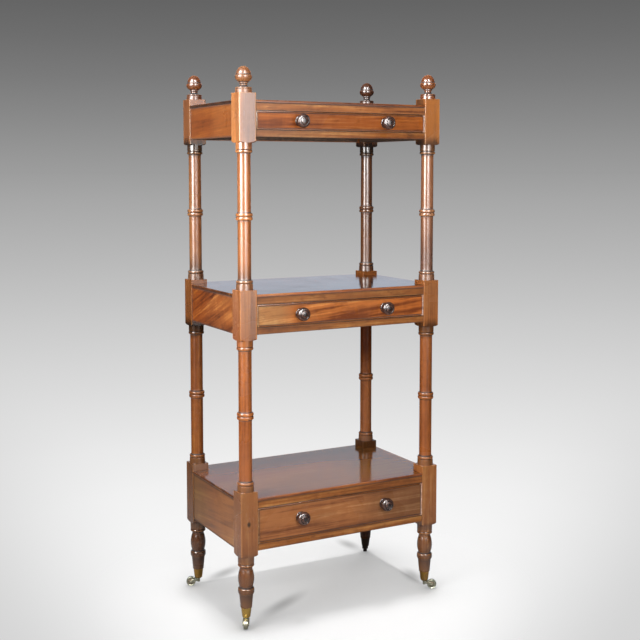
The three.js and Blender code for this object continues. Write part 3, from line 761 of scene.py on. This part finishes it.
# A drawer front's timber, and its spots: place to the right of and above its middle. The middle
# drawer's left spot is a bluish painted sheen; the others lighten or darken one end
DRAWER_TIMBER = {
    "lower": {
        "seed": 92, "shade": 1.14, "tint": (1, 1.43, 2.4), "figure": 0.35, "streak": 0.6, "contrast": 0.65,
    },
    "middle": {
        "seed": 97, "shade": 1.5, "tint": (1, 1.15, 1.25), "figure": 0.8, "streak": 0.4, "contrast": 0.9,
        "tilt": 0.09,
    },
    "upper": {"seed": 95, "shade": 0.94, "figure": 0.6, "streak": 0.5, "contrast": 0.9},
}
DRAWER_SPOTS = {
    "lower": [(190, 6, (140, 30, 80), (0.62, 0.66, 0.75))],
    "middle": [
        (-205, 0.5, (60, 30, 40), (0.92, 1.3, 1.9)),
        (190, 0.5, (80, 30, 40), (1.1, 1.0, 0.85)),
    ],
    "upper": [
        (-190, -0.5, (80, 30, 40), (1.35, 1.35, 1.1)),
        (190, -0.5, (80, 30, 40), (1.2, 1.2, 1.0)),
    ],
}


# Operators: one for each group of pieces


class PieceOperator(bpy.types.Operator):
    """Shared by the operators that make pieces."""

    bl_options = {"REGISTER", "UNDO"}

    def execute(self, context):
        self.make(context.scene.etagere_sizes)
        return {"FINISHED"}


class ETAGERE_OT_posts(PieceOperator):
    """Makes the twelve post sections with their blocks, columns and feet"""

    bl_idname = "etagere.posts"
    bl_label = "Posts"

    def make(self, sizes):
        arris, shoulder = sizes.arris / MM, sizes.shoulder / MM
        for number, corner in enumerate(CORNERS):
            below = span(f"castor_cup_{corner}")[1][2] + CLEAR
            for rank, tier in enumerate(TIERS):
                node = f"{tier}_post_{corner}"
                low, top = block_foot(tier, sizes), span(node)[1][2]
                corners = foot_corners(below, low) if tier == "lower" else column_corners(below, low)
                rounding = arris * (0.8 if tier == "upper" and corner.endswith("left") else 0.4)
                skin = post_section(corners, low, top, axis_of(corner), sizes.columns, shoulder, rounding)
                name, seed = f"mahogany_{tier}_{corner}", number * len(TIERS) + rank + 1
                material = finish(name, self.timber, seed, tier, corner, below, low)
                build(node, [skin], CASE, material, [node])
                below = top + SEAM

    def timber(self, name, seed, tier, corner, foot, low):
        """Each section has timber of its own, made lighter or darker by its shade as painted light and
        shade. Painted shade lies under the tiers, at the columns' feet and on faces turned inwards, and
        more spots paint light, shade and sheen. Foot and low are the levels of the section's foot and of
        its block's."""
        shade, gloss, reach, dull = POST_TIMBER[tier, corner]
        x, y = axis_of(corner)
        half = block_half()
        spots = []
        # Painted shade on a lower section's collar under its block, under the other blocks away from the
        # front left, and at a column's foot
        if tier == "lower":
            spots.append(((x, y, low - 6), (60, 60, reach), dull))
        else:
            if corner != "front_left":
                under_block_shade = BACK_SHADE if corner.startswith("back") else FRONT_SHADE
                spots.append(((x, y, low - 6), (60, 60, 24), under_block_shade))
            spots.append(((x, y, foot), (60, 60, reach), dull))
        if tier == "middle":
            # A bluish painted sheen on the middle tier's blocks
            spots.append(((x, y, low + 78), (60, 60, 75), (1, 1.12, 1.4)))
        for face, aside, rise, extent, factors in POST_SPOTS.get((tier, corner), ()):
            place = {"front": (x + aside, y - half), "left": (x - half, y + aside), "axis": (x, y)}[face]
            spots.append(((*place, low + rise), extent, factors))
        # The lower sections darken towards the floor as painted shade, the back right one from higher up
        fade = None
        if tier == "lower":
            fade = (225, 320) if corner == "back_right" else (35, 230)
        roughness = {"lower": 0.22, "middle": 0.25, "upper": 0.23 if corner == "front_right" else 0.27}[tier]
        return mahogany(
            name, "Z", seed, shade, streak=0.45, roughness=roughness, gloss=gloss, spots=spots, fade=fade,
            tint=(1, 1.05, 0.95) if tier == "middle" else (1, 1.25, 1.6),
            contrast=0.5 if tier == "upper" else 0.65,
        )


class ETAGERE_OT_finials(PieceOperator):
    """Makes the acorn finials"""

    bl_idname = "etagere.finials"
    bl_label = "Finials"

    def make(self, sizes):
        for number, corner in enumerate(CORNERS):
            node = f"finial_{corner}"
            bottom = span(f"upper_post_{corner}")[1][2] + SEAM
            skin = turned(eased(raised(FINIAL, bottom)), 56, axis_of(corner) * MM)
            shade, tint, roughness, gloss = FINIALS[corner]
            material = finish(
                f"mahogany_{node}", mahogany, "Z", 21 + number, shade, figure=0.55, streak=0.4,
                roughness=roughness, tint=tint, gloss=gloss, contrast=0.15,
            )
            build(node, [skin], CASE, material, [node])


class ETAGERE_OT_boards(PieceOperator):
    """Makes the tier boards, notched round the posts"""

    bl_idname = "etagere.boards"
    bl_label = "Boards"

    def make(self, sizes):
        for number, tier in enumerate(TIERS):
            node = f"{tier}_board"
            low, high = span(node)
            outline = self.notched(tier, low, high)
            rows = board_rows(low[2], high[2], 1.6, sizes.nosing / MM)
            face_shade, edge_shade, contrast = BOARDS[tier]
            spots = [((x, y, high[2]), reach, factors) for x, y, reach, factors in LOWER_BOARD_SPOTS]
            material = finish(
                f"mahogany_board_{tier}", mahogany, "X", 31 + number, face_shade, streak=0.4, roughness=0.12,
                spots=spots if tier == "lower" else (), contrast=contrast,
            )
            # The edging's left end is darkened: painted shade
            left_end = ((low[0], (low[1] + high[1]) / 2, low[2]), (30, 400, 30), (0.4, 0.45, 0.6))
            edging = finish(
                f"mahogany_board_edge_{tier}", mahogany, "X", 37, edge_shade, roughness=0.25, spots=[left_end]
            )
            trim = (edging, (0, len(outline) * (len(rows) - 3)))
            # A dark line along the board's lower edge: dirt and painted shade
            skin = plate(outline, rows, dirt=[(0, low[2], 1.8)])
            build(node, [skin], CASE, material, [node], trim=trim)

    def notched(self, tier, low, high):
        """The outline of a board with a square notch for each post, anticlockwise."""
        left, front = span(f"{tier}_post_front_left")[1][:2] + CLEAR
        right, back = span(f"{tier}_post_back_right")[0][:2] - CLEAR
        return [
            (left, low[1]), (right, low[1]), (right, front),
            (high[0], front), (high[0], back), (right, back),
            (right, high[1]), (left, high[1]), (left, back),
            (low[0], back), (low[0], front), (left, front),
        ]


class ETAGERE_OT_rails(PieceOperator):
    """Makes the front rails above and below the drawers"""

    bl_idname = "etagere.rails"
    bl_label = "Rails"

    def make(self, sizes):
        left = span("upper_post_front_left")[1][0]
        right = span("upper_post_front_right")[0][0]
        for number, tier in enumerate(TIERS):
            for place in ("top", "bottom"):
                node = f"{tier}_front_rail_{place}"
                low, high = span(node)
                rows = board_rows(-high[1], -low[1], sizes.arris / MM, inner=5)
                # A dark line round the rail's front face: dirt and painted shade
                skin = plate(oblong((left, low[2]), (right, high[2])), rows, "XZ", [(0, -low[1], 1.3)])
                shade = {"lower": 0.9, "middle": 0.85, "upper": 1.1 if place == "top" else 0.85}[tier]
                # The lower rail of the upper tier is darker towards its right end: painted shade
                right_end = ((right - 60, low[1], low[2]), (150, 60, 60), (0.8, 0.65, 0.45))
                material = finish(
                    f"mahogany_rail_{tier}_{place}", mahogany, "X", 41 + number * 2 + (place == "top"), shade,
                    figure=0.4, tint=(1, 1.25, 1.45), gloss=0.22,
                    spots=[right_end] if (tier, place) == ("upper", "bottom") else (),
                )
                build(node, [skin], CASE, material, [node])


class ETAGERE_OT_panels(PieceOperator):
    """Makes the side and back panels, with the drawer runners, guides and kickers inside"""

    bl_idname = "etagere.panels"
    bl_label = "Panels"

    def make(self, sizes):
        arris = sizes.arris / MM
        # Unpolished wood, dark as painted shade, for the battens and the back panels' insides
        raw = finish("unpolished_case_wood", plain_wood, "Y", 3, bpy.context.scene.etagere_finish.under)
        for number, tier in enumerate(TIERS):
            for side in SIDES:
                inwards = 1 if side == "left" else -1
                low, high = span(f"{tier}_side_{side}")
                outer, reach = (low[0], high[0])[::inwards]
                inner = outer + inwards * sizes.panel / MM
                front = span(f"{tier}_post_front_left")[1][1]
                back = span(f"{tier}_post_back_left")[0][1]
                seed = 61 + number * 2 + (side == "left")
                self.side_panel(tier, side, seed, (outer, inner), (front, low[2]), (back, high[2]), arris)
                opening = span(f"{tier}_post_front_{side}")[1 if side == "left" else 0][0]
                runner_top = low[2] + sizes.runner / MM
                kicker_low = span(f"{tier}_front_rail_top")[0][2]
                for part, edge, bottom, top in (
                    ("runner", reach, low[2] + SEAM, runner_top),
                    ("guide", opening, runner_top + SEAM, runner_top + sizes.guide / MM),
                    ("kicker", reach, kicker_low, kicker_low + sizes.kicker / MM),
                ):
                    rows = board_rows(*sorted((edge, inner + inwards * SEAM)), arris)
                    batten = plate(oblong((front + SEAM, bottom), (back - SEAM, top)), rows, "YZ")
                    build(f"{tier}_{part}_{side}", [batten], CASE, raw)
            self.back_panel(tier, number, arris, raw)

    def side_panel(self, tier, side, seed, faces, low, high, arris):
        """A side panel between its posts, with dirt and painted shade round its outer face, painted light
        and sheen near its front, and painted shade near the back of the lower two. Faces are the places
        of its outer and inner face, and low and high are its corners seen from the side."""
        node = f"{tier}_side_{side}"
        outer = faces[0]
        rows = board_rows(min(faces), max(faces), arris, inner=6)
        skin = plate(oblong(low, high), rows, "YZ", [(0, outer, 2.4)])
        shade, tilt, tint, contrast, near, far = SIDE_PANELS[tier]
        level = (low[1] + high[1]) / 2
        spots = [
            ((outer, low[0] + 30, level), (20, 90, 120), near),
            ((outer, high[0], level), (20, 110, 120), far),
        ]
        material = finish(
            f"mahogany_{node}", mahogany, "Y", seed, shade, figure=0.6, streak=0.45, roughness=0.32,
            tint=tint, tilt=tilt, spots=spots, contrast=contrast,
        )
        build(node, [skin], CASE, material, [node])

    def back_panel(self, tier, number, arris, raw):
        """The back panel is polished behind and left raw inside."""
        node = f"{tier}_back_panel"
        low, high = span(node)
        left = span(f"{tier}_post_back_left")[1][0]
        right = span(f"{tier}_post_back_right")[0][0]
        rows = board_rows(-high[1], -low[1], arris)
        skin = plate(oblong((left, low[2]), (right, high[2])), rows, "XZ")
        material = finish(f"mahogany_{node}", mahogany, "X", 81 + number, 0.8, streak=0.45, roughness=0.36)
        piece = build(node, [skin], CASE, material, [node])
        # Its inside takes the unpolished wood, dark as painted shade
        piece.data.materials.append(raw)
        inside = max(piece.data.polygons, key=lambda face: -face.normal.y * face.area)
        inside.material_index = 1


class ETAGERE_OT_drawer_fronts(PieceOperator):
    """Makes the drawer fronts with their cock beads"""

    bl_idname = "etagere.drawer_fronts"
    bl_label = "Drawer fronts"

    def make(self, sizes):
        bead, proud = sizes.bead / MM, sizes.bead_proud / MM
        trim = self.bead_timber()
        for tier in TIERS:
            node = f"{tier}_drawer_front"
            low, high = span(node)
            field = -low[1] - proud
            back = eased([(2, -high[1], 0), (0, -high[1], 0.5), (0, field + 0.1, 0)])
            bead_rows = eased(
                [
                    (0.05, field + 0.15, 0),
                    (0.05, field + proud, 1.3),
                    (bead, field + proud, 1.3),
                    (bead + 0.1, field - 0.3, 0.1),
                    (bead + 0.7, field - 0.3, 0),
                ]
            )
            rows = np.vstack([back, bead_rows, [(bead + inset, field) for inset in (1.1, 2, 5)]])
            outline = oblong((low[0], low[2]), (high[0], high[2]))
            # Dark lines at the front's outer edge and where the bead meets the field: dirt and painted shade
            skin = plate(outline, rows, "XZ", [(0, field, 0.9), (bead + 0.4, field - 0.3, 1.3)])
            level, face = (low[2] + high[2]) / 2, low[1] + 2
            spots = [((x, face, level + rise), reach, tint) for x, rise, reach, tint in DRAWER_SPOTS[tier]]
            looks = {"roughness": 0.27, "gloss": 0.14, "spots": spots, **DRAWER_TIMBER[tier]}
            material = finish(f"mahogany_{node}", mahogany, "X", **looks)
            faces = (len(outline) * (len(back) - 1), len(outline) * (len(back) + len(bead_rows) - 1))
            build(node, [skin], f"{tier}_drawer", material, [node], trim=(trim, faces))

    def bead_timber(self):
        """The beads' dark timber. Their upright parts carry a painted highlight, strongest on the right."""
        low, high = span("lower_drawer_front")
        spots = [
            ((high[0], low[1] + 1, 760), (7, 20, 2000), (4.5, 10.0, 33.0)),
            ((low[0], low[1] + 1, 760), (6, 20, 2000), (2.2, 4.0, 8.0)),
        ]
        return finish(
            "mahogany_cock_bead", mahogany, "X", 90, 0.5, figure=0.4, streak=0.4, roughness=0.20, spots=spots
        )


class ETAGERE_OT_drawer_boxes(PieceOperator):
    """Makes the drawers' sides, backs and bottoms"""

    bl_idname = "etagere.drawer_boxes"
    bl_label = "Drawer boxes"

    def make(self, sizes):
        lining = finish("drawer_lining", plain_wood, "Y", 7, bpy.context.scene.etagere_finish.lining)
        wall, easing, gap = sizes.lining / MM, 0.9, 0.05
        for tier in TIERS:
            node = f"{tier}_drawer_box"
            low, high = span(node)
            skins = []
            for x in (low[0], high[0] - wall):
                rows = board_rows(x, x + wall, easing)
                skins.append(plate(oblong((low[1], low[2]), (high[1], high[2])), rows, "YZ"))
            left, right = low[0] + wall + gap, high[0] - wall - gap
            rows = board_rows(-high[1], -high[1] + wall, easing)
            skins.append(plate(oblong((left, low[2]), (right, high[2] - 2)), rows, "XZ"))
            level = low[2] + sizes.bottom_raise / MM
            rows = board_rows(level, level + sizes.drawer_bottom / MM, 0.4)
            skins.append(plate(oblong((left, low[1]), (right, high[1] - wall - gap)), rows))
            build(node, skins, f"{tier}_drawer", lining, [node])


class ETAGERE_OT_knobs(PieceOperator):
    """Makes the turned knobs"""

    bl_idname = "etagere.knobs"
    bl_label = "Knobs"

    def make(self, sizes):
        material = finish("knob_polish", knob_polish)
        for tier in TIERS:
            for side in SIDES:
                node = f"{tier}_drawer_knob_{side}"
                low, high = span(node)
                shank = 3
                face = high[1] - shank - sizes.front / MM
                centre = np.array(((low[0] + high[0]) / 2, face, (low[2] + high[2]) / 2))
                skin = turned(eased(KNOB), 48, centre * MM, axis="Y")
                build(node, [skin], f"{tier}_drawer", material, [node])


class ETAGERE_OT_castors(PieceOperator):
    """Makes the castor cups, forks and wheels"""

    bl_idname = "etagere.castors"
    bl_label = "Castors"

    def make(self, sizes):
        tones = bpy.context.scene.etagere_finish
        patina, clean = np.array(tones.patina), np.array(tones.brass)
        bright_metal = finish("aged_brass", brass, clean, patina, 1.3, 0.62, 0.26)
        dull_metal = finish("dull_brass", brass, (0.66, 0.58, 0.48) * clean, patina, 3.1, 0.58, 0.3)
        wheel_metal = finish("tarnished_brass", brass, tones.wheel, patina, 4.2, 0.58, 0.34)
        # Near-black brass for the back right castor: painted shade
        shaded_metal = finish("blackened_brass", brass, 0.3 * patina, 0.12 * patina, 2.6, 0.3, 0.5)
        for corner in CORNERS:
            cup_metal = bright_metal if corner == "front_left" else dull_metal
            low_metal = wheel_metal
            # The back right castor is darkened all over as painted shade
            if corner == "back_right":
                cup_metal = low_metal = shaded_metal
            cup_low, cup_high = span(f"castor_cup_{corner}")
            pivot = (cup_low + cup_high)[:2] / 2
            *middle, axle = sum(span(f"castor_wheel_{corner}")) / 2
            away = middle - pivot
            trail, heading = float(np.hypot(*away)), math.atan2(away[1], away[0])
            fork = [self.turned_to(skin, pivot, heading) for skin in self.fork(cup_low[2], axle, trail)]
            wheel = self.turned_to(self.wheel(axle, trail), pivot, heading)
            for kind, skins, body, slot, metal in (
                ("cup", [self.cup(cup_low[2], cup_high[2], pivot)], CASE, "castor_cup_brass", cup_metal),
                ("horn", fork, f"castor_fork_{corner}", "castor_wheel_brass", low_metal),
                ("wheel", [wheel], f"castor_roller_{corner}", "castor_wheel_brass", low_metal),
            ):
                node = f"castor_{kind}_{corner}"
                build(node, skins, body, metal, [node])

    def cup(self, low, high, pivot):
        """The cup tapers from its rounded foot to a thin lip."""
        return turned(eased([*raised(CUP_BASE, low), *raised(CUP_LIP, high)]), 40, pivot * MM)

    def fork(self, cup_low, axle, trail):
        """A turned hub with its plate, a yoke across it, two cheeks and the axle with its rivets."""
        plate_top = cup_low - 0.3
        hub = [
            (0.05, axle - 1.5, 0),
            (3.4, axle - 1.5, 0.8),
            (4.3, axle - 0.4, 0.8),
            (4.1, plate_top - 3.4, 1.2),
            (4.6, plate_top - 1.7, 0.5),
            (6.5, plate_top - 1.5, 0.3),
            (6.5, plate_top, 0.3),
            (2.6, plate_top, 0.1),
            (2.6, plate_top + 3, 0),
        ]
        skins = [turned(eased(hub), 28)]
        foot, head, cheek = plate_top - 7.0, plate_top - 1.7, 2.0
        skins.append(plate(oblong((0, -7.9), (7.0, 7.9)), board_rows(foot, head + 0.05, 0.5)))
        turn = np.linspace(-np.pi / 2, np.pi / 2, 9)
        tip = np.column_stack([trail + 4.2 * np.cos(turn), axle + 4.2 * np.sin(turn)])
        outline = [(0, foot), (6, foot - 1.2), *tip, (7.2, head), (0, head)]
        skins += [plate(outline, board_rows(y, y + cheek, 0.35), "XZ") for y in (-8.0, 6.0)]
        skins.append(turned(eased(both_ways(AXLE)), 20, (trail * MM, 0, axle * MM), axis="Y"))
        return skins

    def wheel(self, axle, trail):
        """A solid wheel: its side's profile from the bore out to the tread and back on the other
        side, closed through the bore."""
        far = [(radius, -height, rounding) for radius, height, rounding in WHEEL]
        profile = eased([(2.3, 0, 0), *far, *WHEEL[::-1], (2.3, 0.001, 0)])
        return turned(profile, 48, (trail * MM, 0, axle * MM), close_rows=True, axis="Y")

    def turned_to(self, skin, pivot, heading):
        """A skin turned about Z to the castor's heading and set on its pivot."""
        points, faces, wear = skin
        cos, sin = math.cos(heading), math.sin(heading)
        turn = np.array([(cos, sin, 0), (-sin, cos, 0), (0, 0, 1)])
        return points @ turn + (*(pivot * MM), 0), faces, wear


# Where the lamps stand, and the backdrop's greys: by the rise of the view's direction, and on the
# floor by 1 / (1 + metres from the middle)

LEFT_LIGHT, LEFT_GLEAM = (-2.15, -0.68), (-2.05, -0.66)
FRONT_LIGHT, FRONT_GLEAM = (-0.33, -2.15), (-0.33, -2.05)
WASH = (0.56, -2.25)
VIEW_ACROSS, VIEW_AWAY = (0.878, -0.478, 0), (0.478, 0.878, 0)
SKY_GREYS = ((0.0, 0.333), (0.046, 0.25), (0.081, 0.195), (0.115, 0.155), (0.147, 0.127), (0.5, 0.06))
FLOOR_GREYS = (
    (0.0, 0.333), (0.024, 0.386), (0.061, 0.451), (0.104, 0.521), (0.154, 0.597), (0.213, 0.669),
    (0.286, 0.745), (0.370, 0.820), (0.476, 0.885), (0.57, 0.915), (0.65, 0.93),
)

# Each foot's short shadow on the floor: its direction in degrees and half its length in metres
STREAKS = {
    "front_left": (30, 0.12),
    "front_right": (76, 0.072),
    "back_right": (92, 0.068),
    "back_left": (28, 0.085),
}


class ETAGERE_OT_stage(bpy.types.Operator):
    """Makes the camera, the lights, the world and the floor"""

    bl_idname = "etagere.stage"
    bl_label = "Stage"

    def execute(self, context):
        scene = context.scene
        stage = scene.etagere_stage
        scene.view_settings.view_transform = "Standard"
        self.camera(scene, stage)
        for name, (x, y), wide, low, high, power in (
            ("left_light", LEFT_LIGHT, 1.0, 0.45, 2.05, stage.key),
            ("front_light", FRONT_LIGHT, 1.0, 0.45, 2.05, stage.fill),
            ("left_gleam", LEFT_GLEAM, 1.0, 1.0, 1.9, 1.52 * stage.gleam),
            ("left_low_gleam", LEFT_GLEAM, 1.0, 0.62, 1.0, 0.11 * stage.gleam),
            ("front_gleam", FRONT_GLEAM, 0.50, 1.0, 1.9, 0.76 * stage.gleam),
            ("front_low_gleam", FRONT_GLEAM, 0.50, 0.62, 1.0, 0.055 * stage.gleam),
            ("left_high_gleam", LEFT_GLEAM, 1.0, 2.1, 3.2, 3.6 * stage.gleam),
            ("front_high_gleam", FRONT_GLEAM, 0.50, 2.1, 3.2, 1.8 * stage.gleam),
            ("front_wash", WASH, 0.44, 0.80, 2.15, stage.wash),
            ("front_low_wash", WASH, 0.44, 0.30, 0.80, 0.15 * stage.wash),
        ):
            level = (low + high) / 2
            lamp = self.light(name, (x, y, level), (-0.2, -0.1, level), (wide, high - low), power)
            lamp.visible_diffuse = name in ("left_light", "front_light")
            lamp.visible_glossy = not lamp.visible_diffuse
        self.light("top_light", (-0.1, 0.5, 2.8), (0, 0, 0), (1.5, 1.5), stage.top).visible_glossy = False
        self.overhead(scene, stage)
        self.light("back_light", (1.7, 1.9, 1.4), (0, 0, 0.9), (1.2, 1.6), stage.back).visible_glossy = False
        self.world(scene, stage)
        self.floor(scene, stage)
        return {"FINISHED"}

    def camera(self, scene, stage):
        """The photograph's viewing angle."""
        data = bpy.data.cameras.new("camera")
        data.lens = stage.lens
        data.sensor_width = 36
        data.shift_y = -0.0966
        data.clip_end = 1000
        camera = bpy.data.objects.new("camera", data)
        camera.location = (-1.3875, -2.59145, 1.1224)
        camera.rotation_euler = (math.radians(90 - 4.48), 0, math.radians(-28.56))
        scene.collection.objects.link(camera)
        scene.camera = camera

    def light(self, name, place, target, size, power):
        """A rectangular soft box that faces its target."""
        data = bpy.data.lights.new(name, "AREA")
        data.shape = "RECTANGLE"
        data.size, data.size_y = size
        data.energy = power
        lamp = bpy.data.objects.new(name, data)
        lamp.location = place
        aim = np.array(target) - place
        yaw = math.atan2(aim[1], aim[0]) - math.pi / 2
        tilt = math.atan2(aim[2], math.hypot(aim[0], aim[1]))
        lamp.rotation_euler = (math.pi / 2 + tilt, 0, yaw)
        lamp.visible_camera = False
        bpy.context.scene.collection.objects.link(lamp)
        return lamp

    def overhead(self, scene, stage):
        """Light straight from above, which draws the object's footprint on the floor."""
        data = bpy.data.lights.new("overhead", "SUN")
        data.energy = stage.overhead
        data.angle = math.radians(4)
        lamp = bpy.data.objects.new("overhead", data)
        lamp.location = (0, 0, 3)
        lamp.rotation_euler = (math.radians(-1), math.radians(1), 0)
        lamp.visible_glossy = lamp.visible_camera = False
        scene.collection.objects.link(lamp)

    def world(self, scene, stage):
        """An even light, a grey gradient that the camera sees, and for gloss a cool bright back."""
        world = bpy.data.worlds.new("studio")
        scene.world = world
        nodes = Shading(world)
        way = nodes.add("ShaderNodeTexCoord").outputs["Generated"]
        backdrop = nodes.greys(nodes.add("ShaderNodeSeparateXYZ", {0: way}).outputs["Z"], SKY_GREYS)
        behind = nodes.remap(nodes.vector("DOT_PRODUCT", way, VIEW_AWAY), 0.72, 0.9)
        gloss = nodes.mix(behind, (0.07, 0.07, 0.075), (0.66, 0.74, 0.86))
        path = nodes.add("ShaderNodeLightPath")
        seen = nodes.mix(path.outputs["Is Glossy Ray"], (stage.ambient,) * 3, gloss)
        seen = nodes.mix(path.outputs["Is Camera Ray"], seen, backdrop)
        light = nodes.add("ShaderNodeBackground", {"Color": seen, "Strength": 1.0})
        nodes.add("ShaderNodeOutputWorld", {"Surface": light.outputs[0]})

    def floor(self, scene, stage):
        """A wide pale floor in rings."""
        mesh = bpy.data.meshes.new("floor")
        columns = 96
        ring = np.arange(columns) / columns * 2 * np.pi
        radii = np.array([0.01, 1, 2, 4, 8, 20, 60, 400])[:, None]
        grid = np.stack([radii * np.cos(ring), radii * np.sin(ring), 0 * radii * ring], axis=-1)
        middle = list(range(columns))[::-1]
        mesh.from_pydata(grid.reshape(-1, 3).tolist(), [], [*ring_faces(len(radii), columns), middle])
        mesh.flip_normals()
        mesh.materials.append(self.floor_finish(stage))
        floor = bpy.data.objects.new("floor", mesh)
        scene.collection.objects.link(floor)

    def floor_finish(self, stage):
        """By the object the floor is lit and shadowed, and further out it fades to the backdrop's
        greys, which darken to the sides. The near floor falls off to the left, and under the object
        the short soft shadows are deeper. Bounced and mirrored light find it darker."""
        material, nodes, place = blank("floor")
        path = nodes.add("ShaderNodeLightPath").outputs
        reach = nodes.vector("LENGTH", place)
        across = nodes.vector("DOT_PRODUCT", place, VIEW_ACROSS)
        away = nodes.remap(nodes.vector("DOT_PRODUCT", place, VIEW_AWAY), -0.9, 8.0, -0.9, 8.0)
        breadth = nodes.math("MULTIPLY_ADD", nodes.math("MULTIPLY_ADD", away, 0.15, 1.0), away, 1.38)
        aside = nodes.math("DIVIDE", nodes.math("ABSOLUTE", across), breadth)
        shade = nodes.remap(aside, 0.24, 0.72, 0.0, 0.265, curve="SMOOTHSTEP")
        shade = nodes.math("MULTIPLY", shade, nodes.remap(reach, 2.0, 5.0, 1.0, 0.0))
        dim, streaks = nodes.grey(nodes.math("SUBTRACT", 1.0, shade)), self.streaks(nodes, place)
        greys = nodes.greys(nodes.math("DIVIDE", 1.0, nodes.math("ADD", reach, 1.0)), FLOOR_GREYS)
        greys = nodes.times(nodes.times(greys, dim), streaks)
        falling = nodes.greys(nodes.remap(across, -0.45, 0.25), [(0.0, 0.84), (1.0, 1.0)])
        open_sky = nodes.add("ShaderNodeAmbientOcclusion", {"Distance": 0.15}, samples=8).outputs["AO"]
        open_sky = nodes.grey(nodes.math("POWER", open_sky, 1.5))
        near = nodes.times(nodes.times(tuple(stage.floor), dim), falling)
        near = nodes.times(nodes.times(near, open_sky), streaks)
        tone = nodes.mix(path["Is Camera Ray"], (0.20, 0.20, 0.20), near)
        mirrored = nodes.greys(nodes.remap(reach, 0.6, 1.6), [(0.0, 0.40), (1.0, 0.05)])
        lit = nodes.add("ShaderNodeBsdfDiffuse", {"Color": nodes.mix(path["Is Glossy Ray"], tone, mirrored)})
        glow = nodes.add("ShaderNodeEmission", {"Color": greys})
        far = nodes.math("MULTIPLY", nodes.remap(reach, 0.33, 0.60, 0.38, 1.0), path["Is Camera Ray"])
        both = nodes.add("ShaderNodeMixShader", {0: far, 1: lit.outputs[0], 2: glow.outputs[0]})
        nodes.close(both.outputs[0])
        return material

    def streaks(self, nodes, place):
        """The short soft shadows of the feet: ovals that darken the floor, each roughly away from
        its nearest lamp."""
        half_width, darkest, rim = 0.03, 0.62, 1.15
        distance = 1.36  # of an oval's middle from its foot, in half lengths
        share = 1.0
        for corner, (yaw, half_length) in STREAKS.items():
            turn = math.radians(yaw)
            along = np.array([math.cos(turn), math.sin(turn)])
            middle = axis_of(corner) * MM + distance * half_length * along
            away = nodes.oval(place, (*middle, 0), (half_length, half_width, 1), turn)
            dim = nodes.remap(away, 0.0, rim, darkest, 1.0, curve="SMOOTHSTEP")
            share = nodes.math("MULTIPLY", dim, share)
        return nodes.grey(share)


OPERATORS = (
    ETAGERE_OT_posts,
    ETAGERE_OT_finials,
    ETAGERE_OT_boards,
    ETAGERE_OT_rails,
    ETAGERE_OT_panels,
    ETAGERE_OT_drawer_fronts,
    ETAGERE_OT_drawer_boxes,
    ETAGERE_OT_knobs,
    ETAGERE_OT_castors,
    ETAGERE_OT_stage,
)


class ETAGERE_PT_panel(bpy.types.Panel):
    """Lists the sizes, the finishes and the operators"""

    bl_label = "Etagere"
    bl_idname = "ETAGERE_PT_panel"
    bl_space_type = "VIEW_3D"
    bl_region_type = "UI"
    bl_category = "Etagere"

    def draw(self, context):
        for group in ("etagere_sizes", "etagere_finish", "etagere_stage"):
            column = self.layout.column(align=True)
            settings = getattr(context.scene, group)
            for name in settings.bl_rna.properties.keys():
                if name not in ("rna_type", "name"):
                    column.prop(settings, name)
        for operator in OPERATORS:
            self.layout.operator(operator.bl_idname)


GROUPS = {"etagere_sizes": EtagereSizes, "etagere_finish": EtagereFinish, "etagere_stage": EtagereStage}


def register():
    for name, group in GROUPS.items():
        bpy.utils.register_class(group)
        setattr(bpy.types.Scene, name, bpy.props.PointerProperty(type=group))
    for operator in (*OPERATORS, ETAGERE_PT_panel):
        bpy.utils.register_class(operator)


def unregister():
    for operator in reversed((*OPERATORS, ETAGERE_PT_panel)):
        bpy.utils.unregister_class(operator)
    for name, group in GROUPS.items():
        delattr(bpy.types.Scene, name)
        bpy.utils.unregister_class(group)


def main():
    register()
    for operator in OPERATORS:
        group, _, action = operator.bl_idname.partition(".")
        getattr(getattr(bpy.ops, group), action)()


if __name__ == "__main__":
    main()
